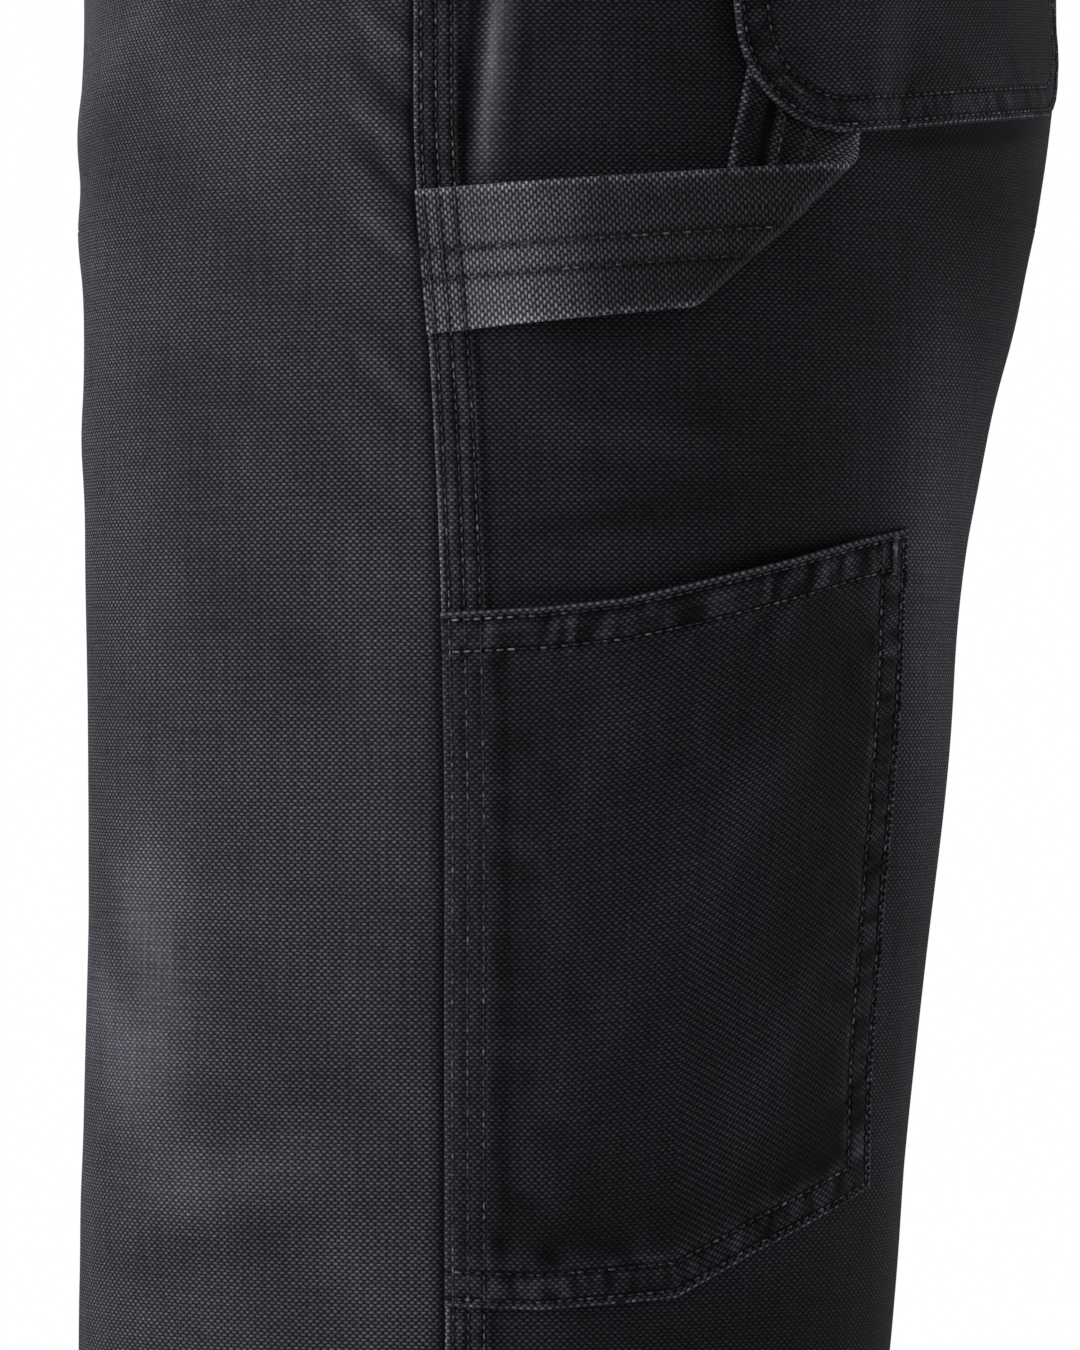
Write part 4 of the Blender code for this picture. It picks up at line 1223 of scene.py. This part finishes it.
def makeWaistband(name):
    turn = bandTurns(420)
    tiny = 0.0004 / waist["halfWidth"]
    turn = np.concatenate(([turn[0], turn[0] + tiny], turn[1:-1], [turn[-1] - tiny, turn[-1]]))[None, :]
    height = form["bandTop"] - form["bandFoot"]
    down = edgedLines(height, 0.0016)[:, None]
    z = form["bandTop"] - down
    away = np.minimum(down, height - down) + 0 * turn
    along = turn * waist["halfWidth"] * 0.94
    pucker = sewnPucker(along, away, (waist["rows"],), 71)
    wave = 0.0004 * softNoise(along / 0.035, z / 0.05, 74)
    outerLift = bandLift(turn) - waist["bandCloth"] * 0.3 * (1 - roundedEdge(away, 0.0011)) + pucker + wave
    innerLift = bandLift(turn) - waist["bandCloth"] * (0.7 + 0.3 * roundedEdge(away, 0.0011)) + wave
    outer, inner = onTrunk(turn, z, outerLift, innerLift)
    # painted highlight on raised puckers and painted shade in their dips
    wearAndShading = np.clip(pucker * 240, -0.08, 0.1)
    makeSheet(name, outer, inner, (along, z), (along, away), bandCanvas, 1, wearAndShading)


def makeFlyShield(name):
    straight = np.linspace(bandSeam, fly["curveTop"], 26)
    turn = np.radians(np.linspace(8, 76, 12))
    z = np.concatenate((straight, fly["curveTop"] - fly["curve"] * np.sin(turn)))
    width = np.concatenate((np.full(26, fly["width"]), fly["width"] * np.cos(turn)))
    x = fly["left"] + width[:, None] * np.linspace(0, 1, 16)[None, :]
    z = z[:, None] + 0 * x
    about = np.arcsin(x / formAt("outerX", z))
    depth = cloth["liningDepth"]
    outer, inner = onTrunk(about, z, -depth, -depth - cloth["thick"])
    makeSheet(name, outer, inner, (x, z), (z, z * 0 + 1), frontCanvas, 1, -0.08)


def loopTurn(turnDegrees):
    centre = np.radians(turnDegrees)
    base = onTrunk(np.array((centre, centre + 0.01)), np.array(0.0), 0.0)[0]
    return centre, 0.01 / np.linalg.norm(base[1] - base[0])


def loopLine():
    # the loop's side view: sewn below the band, out over it and down to its top edge
    z = spacedLines((waist["loopZ"][0], waist["loopZ"][-1], 0.0013))
    lift = np.interp(z, waist["loopZ"], waist["loopLift"])
    kernel = np.array((0.25, 0.5, 0.25))
    for _ in range(2):
        lift[1:-1] = np.convolve(lift, kernel, mode="valid")
    along = np.gradient(np.stack((z, lift), axis=1), axis=0)
    along /= np.linalg.norm(along, axis=1)[:, None]
    return z, lift, along


def makeBeltLoop(name, turnDegrees):
    z, lift, along = loopLine()
    centre, perMetre = loopTurn(turnDegrees)
    aside = edgedLines(waist["loopWidth"], 0.0012) - waist["loopWidth"] / 2
    turn = centre + perMetre * aside[None, :]
    away = (waist["loopWidth"] / 2 - np.abs(aside))[None, :] + 0 * z[:, None]
    half = waist["loopCloth"] / 2 * (0.35 + 0.65 * roundedEdge(away, 0.0006))
    sunk = 0.00012 * bell(away - 0.0022, 0.0007)
    layers = []
    for offset in (half - sunk, -half):
        layerZ = z[:, None] - along[:, 1:] * offset
        layers.append(onTrunk(turn + 0 * layerZ, layerZ, lift[:, None] + along[:, :1] * offset)[0])
    size = (z[:, None] + 0 * away, aside[None, :] + 0 * away)
    makeSheet(name, layers[0], layers[1], size, (size[0], away), bandCanvas, wearAndShading=0.03,
              restsOn=("waistband",))


def makeButton(name):
    # a plain shank button's cap with a raised rim, turned square to the band
    base, ahead = onTrunk(np.array(0.0), np.array(0.0), waist["bandLift"] + form["seamGap"], 0.02)
    out = (ahead - base) / np.linalg.norm(ahead - base)
    across = np.array((1.0, 0.0, 0.0))
    up = np.cross(across, out)
    shape = bpy.data.meshes.new(name)
    turns = np.linspace(0, 2 * np.pi, button["steps"], endpoint=False)
    points = [base + out * button["profile"][0][1]]
    for radius, rise in button["profile"][1:-1]:
        points.extend(base + out * rise + radius * (across * np.cos(t) + up * np.sin(t)) for t in turns)
    points.append(base + out * button["profile"][-1][1])
    steps, rings, faces = button["steps"], len(button["profile"]) - 2, []
    for step in range(steps):
        following = (step + 1) % steps
        faces.append((0, 1 + following, 1 + step))
        for ring in range(rings - 1):
            low, high = 1 + ring * steps, 1 + (ring + 1) * steps
            faces.append((low + step, low + following, high + following, high + step))
        faces.append((1 + (rings - 1) * steps + step, 1 + (rings - 1) * steps + following, len(points) - 1))
    shape.from_pydata([tuple(p) for p in points], [], faces)
    shape.shade_smooth()
    shape.set_sharp_from_angle(angle=np.radians(50))
    shape.materials.append(buttonMetal)
    piece = linked(name, shape)
    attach(piece, "root")
    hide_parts(name)


makeWaistband("waistband")
makeFlyShield("fly_shield")
makeButton("waist_button")
for number, turnDegrees in enumerate(waist["loopTurns"]):
    makeBeltLoop("belt_loop_" + str(number + 1), turnDegrees)

print("work pants: stitching")
thread = {
    "pitch": 0.0028,
    "halfLength": 0.00105,
    "halfWidth": 0.00034,
    "lift": 0.00016,
    "seed": 11,
    "wander": 0.07,
    "tackLength": 0.0011,
    "tackSpacing": 0.00055,
    "tackInset": 0.0055,
    "tackSpan": (0.001, 0.012),
    "sunk": 0.00016,
}
sewn = {"outseams": [], "pockets": [], "rubbed": [], "legs": [], "waist": []}


def sewRow(group, base, above, pitch=None, mirror=1, length=None):
    # evenly spaced stitches along a line of points on the cloth
    pitch = pitch or thread["pitch"]
    out = (above - base) / np.linalg.norm(above - base, axis=-1)[:, None]
    steps = np.linalg.norm(np.diff(base, axis=0), axis=1)
    total = np.concatenate(([0.0], np.cumsum(steps)))
    count = max(1, int(total[-1] / pitch))
    spots = (np.arange(count) + 0.5) * total[-1] / count

    def read(where, values):
        return np.stack([np.interp(where, total, values[:, axis]) for axis in range(3)], axis=-1)

    place, normal = read(spots, base), read(spots, out)
    along = read(spots + pitch * 0.2, base) - read(spots - pitch * 0.2, base)
    flip = np.array((mirror, 1, 1))
    size = np.full(len(spots), length or thread["halfLength"])
    sewn[group].append((place * flip, along * flip, normal * flip, size))


def sewOnLeg(group, side, place, z, lift, **options):
    base, above = onLeg(side, place, z, lift + thread["lift"], lift + 0.001)
    sewRow(group, base, above, mirror=side, **options)


def sewTack(group, side, place, z, lift):
    # a bar tack: thread laid across, close together, along a short line
    base, above = onLeg(side, place, z, lift + 0.0003, lift + 0.001)
    count = max(3, int(np.linalg.norm(base[-1] - base[0]) / thread["tackSpacing"]))
    part = np.linspace(0, 1, count)[:, None]
    spots = base[0] + (base[-1] - base[0]) * part
    out = np.repeat(above[:1] - base[:1], count, axis=0)
    along = np.cross(out, np.repeat((base[-1] - base[0])[None, :], count, axis=0))
    flip = np.array((side, 1, 1))
    sewn[group].append((spots * flip, along * flip, out * flip, np.full(count, thread["tackLength"])))


def shiftedLine(place, z, shift):
    along = np.gradient(np.stack((place, z), axis=1), axis=0)
    along /= np.linalg.norm(along, axis=1)[:, None]
    return place - along[:, 1] * shift, z + along[:, 0] * shift


def sewOutseams():
    z = spacedLines((form["bandFoot"] - 0.002, form["hem"] + 0.001, 0.0012))
    for side in (1, -1):
        for row in outseamRows:
            place = seamPlace(z) + row
            lift = felledLift(place, z)
            if side > 0:
                onPocket = window(-z, *toolPocket["overSeam"])
                onStrap = window(-z, *strap["overSeam"])
                lift = lift + onPocket * (cloth["patchGap"] + cloth["thick"] - 0.0001)
                lift = lift + onStrap * (strap["gap"] + strap["cloth"] + 0.0001)
            sewOnLeg("outseams", side, place, z, lift)


def sewLegs():
    for side in (1, -1):
        z = spacedLines((form["crotch"] - 0.004, form["hem"] + 0.001, 0.0020))
        for row in panel["seamRows"]:
            sewOnLeg("legs", side, lastPlace(z, 1) - row, z, 0.0)
        level = np.full(420, form["hem"] + panel["hemRow"])
        start, end = lastPlace(level, -1), lastPlace(level, 1)
        place = start + (end - start) * np.linspace(0.002, 0.998, 420)
        sewOnLeg("legs", side, place, level, felledLift(place, level) + hemPinch(level))
        # the yoke laps over the back, sewn with two rows
        extra = np.linspace(0.002, 0.998, 160)
        level = yokeLine(extra)
        for row in panel["edgeRows"]:
            z = level + row
            place = seamPlace(z) + (lastPlace(z, 1) - seamPlace(z)) * extra
            sewOnLeg("legs", side, place, z, felledLift(place, z) + yokeLip(row))
        # the scoop pocket's edge
        z = scoopHeights(np.radians(np.linspace(86, 4, 120)), form["crotchStart"])
        for row in panel["edgeRows"]:
            place, height = shiftedLine(scoopStart(z), z, row)
            sewOnLeg("legs", side, place, np.minimum(height, form["bandFoot"] - 0.001), 0.0002)
    z = spacedLines((form["bandFoot"] - 0.002, form["crotch"] + 0.008, 0.0020))
    for row in panel["seamRows"]:
        sewOnLeg("legs", 1, lastPlace(z, 1) - row, z, 0.0)
    z = spacedLines((fly["curveTop"] - fly["curve"], form["crotch"] + 0.008, 0.0020))
    for row in panel["seamRows"]:
        sewOnLeg("legs", 1, lastPlace(z, -1) + row, z, 0.0)
    # the fly's curved rows
    turn = np.radians(np.linspace(0, 88, 24))
    for row in (0.0, 0.0064):
        reach, fall = fly["stitchReach"] - row, fly["curve"] - row
        z = np.concatenate((np.linspace(form["bandFoot"] - 0.002, fly["curveTop"], 50),
                            fly["curveTop"] - fall * np.sin(turn)[1:]))
        x = np.concatenate((np.full(50, reach), reach * np.cos(turn)[1:]))
        sewOnLeg("legs", 1, lastPlace(z, -1) + x, z, 0.0)


def sewBackPockets():
    size, corner = backPocket["size"], backPocket["corner"]

    def sewLine(side, p, q, sunk, **options):
        place, z = backPocketSpot(p, q)
        lift = backPocketRise(side, p, q) + cloth["thick"] - sunk
        sewOnLeg("pockets", side, place, z, lift, **options)

    for side in (1, -1):
        arc = np.radians(np.linspace(0, 90, 30))
        down = np.linspace(0.002, size - corner, 70)
        for row in backPocket["rows"]:
            p = np.concatenate((np.full(70, row), corner - (corner - row) * np.cos(arc),
                                np.linspace(corner, size - corner, 60),
                                size - corner + (corner - row) * np.sin(arc), np.full(70, size - row)))
            q = np.concatenate((down, size - corner + (corner - row) * np.sin(arc), np.full(60, size - row),
                                size - corner + (corner - row) * np.cos(arc), down[::-1]))
            sewLine(side, p, q, thread["sunk"])
            p = np.linspace(0.002, size - 0.002, 90)
            sewLine(side, p, np.full(90, row + 0.0012 * (row > 0.005)), thread["sunk"])
        # the double tack that holds the strap through the pocket's round corner
        arc = np.radians(np.linspace(36, 56, 24))
        for inset in (0.0050, 0.0066):
            p = corner - (corner - inset) * np.cos(arc)
            q = size - corner + (corner - inset) * np.sin(arc)
            sewLine(side, p, q, 0.0, pitch=0.0011, length=0.0007)
        for p in (thread["tackInset"], size - thread["tackInset"]):
            p, q = np.array((p, p)), np.array(thread["tackSpan"])
            place, z = backPocketSpot(p, q)
            sewTack("pockets", side, place, z, backPocketRise(side, p, q) + cloth["thick"])


def sewToolPocket():
    width, height = toolPocket["width"], toolPocket["height"]
    overBand = 0.018

    def sewLine(group, u, v, sunk):
        u, v = np.broadcast_arrays(u, v)
        place, z = toolPocketSpot(u, v)
        sewOnLeg(group, 1, place, z, toolPocketRise(place, z, u, v) + cloth["thick"] - sunk)

    for row in toolPocket["rows"]:
        sewLine("pockets", 1 - row / width, np.linspace(0.002, 1 - row / height, 110), thread["sunk"])
        sewLine("pockets", np.linspace(overBand, 1 - row / width, 90), 1 - row / height, thread["sunk"])
    for row in toolPocket["hemRows"]:
        sewLine("pockets", np.linspace(0.150, 0.998, 80), row / height, thread["sunk"])
        # thread rubbed pale where the hem crosses the thick outseam
        sewLine("rubbed", np.linspace(overBand, 0.148, 20), row / height, thread["sunk"] / 2)
    u, v = np.full(2, 1 - thread["tackInset"] / width), np.array(thread["tackSpan"]) / height
    place, z = toolPocketSpot(u, v)
    sewTack("pockets", 1, place, z, toolPocketRise(place, z, u, v) + cloth["thick"])


def sewHammerLoop():
    # the rows of the front run, which come through on the inner face, seen on the rear run
    half = strap["cloth"] / 2
    for part in strap["stitchParts"]:
        for face in (1, -1):
            (base,), (spots,) = strapGrid((part,), face * (half + 0.00010))
            (above,), (spots,) = strapGrid((part,), face * (half + 0.001))
            fromSeam, turned = spots[:, 2], spots[:, 3]
            keep = (fromSeam > 0.0010) & (turned < 0.1) if face > 0 else turned > 1.05
            sewRow("pockets", base[keep], above[keep])


def sewOnTrunk(turn, z, low, high):
    base, above = onTrunk(turn, z, low, high)
    sewRow("waist", base, above)


def sewWaist():
    turn = bandTurns(460)
    for z in (form["bandTop"] - waist["rows"], form["bandFoot"] + waist["rows"]):
        lift = bandLift(turn)
        sewOnTrunk(turn, np.full(460, z), lift + thread["lift"], lift + 0.001)
    z = np.linspace(form["bandTop"] - 0.003, form["bandFoot"] + 0.003, 20)
    turn = np.full(20, bandTurns(2)[0] + waist["rows"] / waist["halfWidth"])
    sewOnTrunk(turn, z, waist["bandLift"] + thread["lift"], waist["bandLift"] + 0.001)
    z, lift, along = loopLine()
    for turnDegrees in waist["loopTurns"]:
        centre, perMetre = loopTurn(turnDegrees)
        for aside in (-waist["loopRow"], waist["loopRow"]):
            base, above = [onTrunk(np.full(len(z), centre + perMetre * aside), z - along[:, 1] * off,
                                   lift + along[:, 0] * off)[0] for off in (0.0007, 0.0016)]
            sewRow("waist", base, above)
        # a tack across the loop at each end
        for height, off in waist["loopTacks"]:
            across = centre + perMetre * np.linspace(-0.005, 0.005, 20)
            base, above = onTrunk(across, np.full(20, height), off, off + 0.001)
            out = above - base
            up = np.repeat(np.array([[0, 0, 1.0]]), 20, axis=0)
            sewn["waist"].append((base, up, out, np.full(20, thread["tackLength"])))


def stitchTree():
    # one stitch on each point, turned along its row, with a little unevenness
    tree = bpy.data.node_groups.new("stitchRows", "GeometryNodeTree")
    face = tree.interface
    face.new_socket("Geometry", in_out="INPUT", socket_type="NodeSocketGeometry")
    sockets = {}
    for name, kind, value in (("Thread Width", "NodeSocketFloat", thread["halfWidth"]),
                              ("Wander", "NodeSocketFloat", thread["wander"]),
                              ("Seed", "NodeSocketInt", thread["seed"]),
                              ("Thread", "NodeSocketMaterial", None)):
        made = face.new_socket(name, in_out="INPUT", socket_type=kind)
        if value is not None:
            made.default_value = value
        sockets[name] = made.identifier
    face.new_socket("Geometry", in_out="OUTPUT", socket_type="NodeSocketGeometry")

    def add(kind, links=(), **settings):
        made = tree.nodes.new(kind)
        for key, value in settings.items():
            setattr(made, key, value)
        for key, value in links:
            if isinstance(value, bpy.types.NodeSocket):
                tree.links.new(value, made.inputs[key])
            else:
                made.inputs[key].default_value = value
        return made

    given = add("NodeGroupInput")
    along = add("GeometryNodeInputNamedAttribute", [("Name", "along")], data_type="FLOAT_VECTOR")
    out = add("GeometryNodeInputNamedAttribute", [("Name", "out")], data_type="FLOAT_VECTOR")
    size = add("GeometryNodeInputNamedAttribute", [("Name", "size")], data_type="FLOAT")
    turned = add("FunctionNodeAxesToRotation", [("Primary Axis", along.outputs[0]),
                                                ("Secondary Axis", out.outputs[0])],
                 primary_axis="Z", secondary_axis="X")
    loose = add("ShaderNodeMath", [(0, given.outputs["Wander"]), (1, -1.0)], operation="MULTIPLY")
    low = add("ShaderNodeCombineXYZ", [(0, loose.outputs[0]), (1, loose.outputs[0])])
    high = add("ShaderNodeCombineXYZ", [(0, given.outputs["Wander"]), (1, given.outputs["Wander"])])
    shake = add("FunctionNodeRandomValue", [("Min", low.outputs[0]), ("Max", high.outputs[0]),
                                            ("Seed", given.outputs["Seed"])], data_type="FLOAT_VECTOR")
    swing = add("FunctionNodeEulerToRotation", [(0, shake.outputs[0])])
    rotation = add("FunctionNodeRotateRotation", [(0, turned.outputs[0]), (1, swing.outputs[0])],
                   rotation_space="LOCAL")
    scale = add("ShaderNodeCombineXYZ", [(0, given.outputs["Thread Width"]),
                                         (1, given.outputs["Thread Width"]), (2, size.outputs[0])])
    stitch = add("GeometryNodeMeshUVSphere", [("Segments", 6), ("Rings", 5), ("Radius", 1.0)])
    placed = add("GeometryNodeInstanceOnPoints", [("Points", given.outputs["Geometry"]),
                                                  ("Instance", stitch.outputs["Mesh"]),
                                                  ("Rotation", rotation.outputs[0]),
                                                  ("Scale", scale.outputs[0])])
    real = add("GeometryNodeRealizeInstances", [(0, placed.outputs[0])])
    soft = add("GeometryNodeSetShadeSmooth", [(0, real.outputs[0])])
    dyed = add("GeometryNodeSetMaterial", [("Geometry", soft.outputs[0]),
                                           ("Material", given.outputs["Thread"])])
    add("NodeGroupOutput", [(0, dyed.outputs[0])])
    return tree, sockets


def makeStitches(group, tree, sockets):
    place, along, out, size = [np.concatenate(parts) for parts in zip(*sewn[group])]
    mesh = bpy.data.meshes.new("stitchPoints")
    mesh.from_pydata(place.tolist(), [], [])
    for name, kind, key, values in (("along", "FLOAT_VECTOR", "vector", along),
                                    ("out", "FLOAT_VECTOR", "vector", out),
                                    ("size", "FLOAT", "value", size)):
        mesh.attributes.new(name, kind, "POINT").data.foreach_set(key, values.ravel().astype(np.float32))
    points = linked("stitchPoints", mesh)
    modifier = points.modifiers.new("stitches", "NODES")
    modifier.node_group = tree
    modifier[sockets["Thread Width"]] = thread["halfWidth"]
    modifier[sockets["Wander"]] = thread["wander"]
    modifier[sockets["Seed"]] = thread["seed"]
    modifier[sockets["Thread"]] = rubbedThread if group == "rubbed" else darkThread
    made = bpy.data.meshes.new_from_object(points.evaluated_get(bpy.context.evaluated_depsgraph_get()))
    bpy.data.objects.remove(points, do_unlink=True)
    made.name = "stitches_" + group
    piece = linked("stitches_" + group, made)
    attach(piece, "root")
    print("  %-22s %d stitches, %d faces" % (piece.name, len(place), len(made.polygons)))


sewOutseams()
sewLegs()
sewBackPockets()
sewToolPocket()
sewHammerLoop()
sewWaist()
stitchGroup, stitchSockets = stitchTree()
for group in sewn:
    makeStitches(group, stitchGroup, stitchSockets)

print("work pants: floor and light")
studio = {
    "floorRadius": 1.4,
    "floorDrop": 0.002,
    "ambient": 0.23,
    "lights": {
        "key": {"place": (0.75, -2.10, 0.15), "aim": (0.10, -0.02, -0.38), "size": (1.3, 1.6), "power": 52},
        "fill": {"place": (2.6, 0.9, 1.1), "aim": (0.10, 0.0, -0.40), "size": (2.2, 2.2), "power": 6},
        "rim": {"place": (-0.35, 2.2, -0.35), "aim": (0.08, 0.10, -0.45), "size": (0.9, 1.0), "power": 20},
        "back": {"place": (-2.3, -0.5, 0.6), "aim": (-0.08, 0.0, -0.5), "size": (1.6, 1.6), "power": 24},
    },
}


def makeFloor():
    mesh = bpy.data.meshes.new("studioFloor")
    turns = np.linspace(0, 2 * np.pi, 96, endpoint=False)
    height = form["hem"] - studio["floorDrop"]
    rim = [(studio["floorRadius"] * np.cos(t), studio["floorRadius"] * np.sin(t), height) for t in turns]
    mesh.from_pydata(rim, [], [tuple(range(len(rim)))])
    finish = Finish("floorPaper")
    paper = finish.mix(finish.speckle(3.0, 2.0), (0.78, 0.78, 0.78, 1), (0.82, 0.82, 0.82, 1))
    mesh.materials.append(finish.done({"Base Color": paper, "Roughness": 0.85}))
    floor = linked("studioFloor", mesh)


def makeLight(name, place, aim, size, power):
    data = bpy.data.lights.new(name, "AREA")
    data.shape = "RECTANGLE"
    data.size, data.size_y = size
    data.energy = power
    lamp = linked(name, data)
    lamp.location = place
    away = np.array(place) - np.array(aim)
    flat = np.hypot(away[0], away[1])
    lamp.rotation_euler = (float(np.arctan2(flat, away[2])), 0.0, float(np.arctan2(away[0], -away[1])))


def makeWorld():
    # the backdrop is white to the camera, and gives only a little light
    world = bpy.data.worlds.new("studioWorld")
    world.use_nodes = True
    nodes, links = world.node_tree.nodes, world.node_tree.links
    seen = nodes.new("ShaderNodeLightPath")
    strength = nodes.new("ShaderNodeMix")
    strength.inputs[2].default_value = studio["ambient"]
    strength.inputs[3].default_value = 1.0
    links.new(seen.outputs["Is Camera Ray"], strength.inputs[0])
    links.new(strength.outputs[0], nodes["Background"].inputs["Strength"])
    nodes["Background"].inputs["Color"].default_value = (1, 1, 1, 1)
    scene.world = world


makeFloor()
makeWorld()
for name, light in studio["lights"].items():
    makeLight(name, **light)
scene.view_settings.view_transform = "Standard"

print("work pants: done")
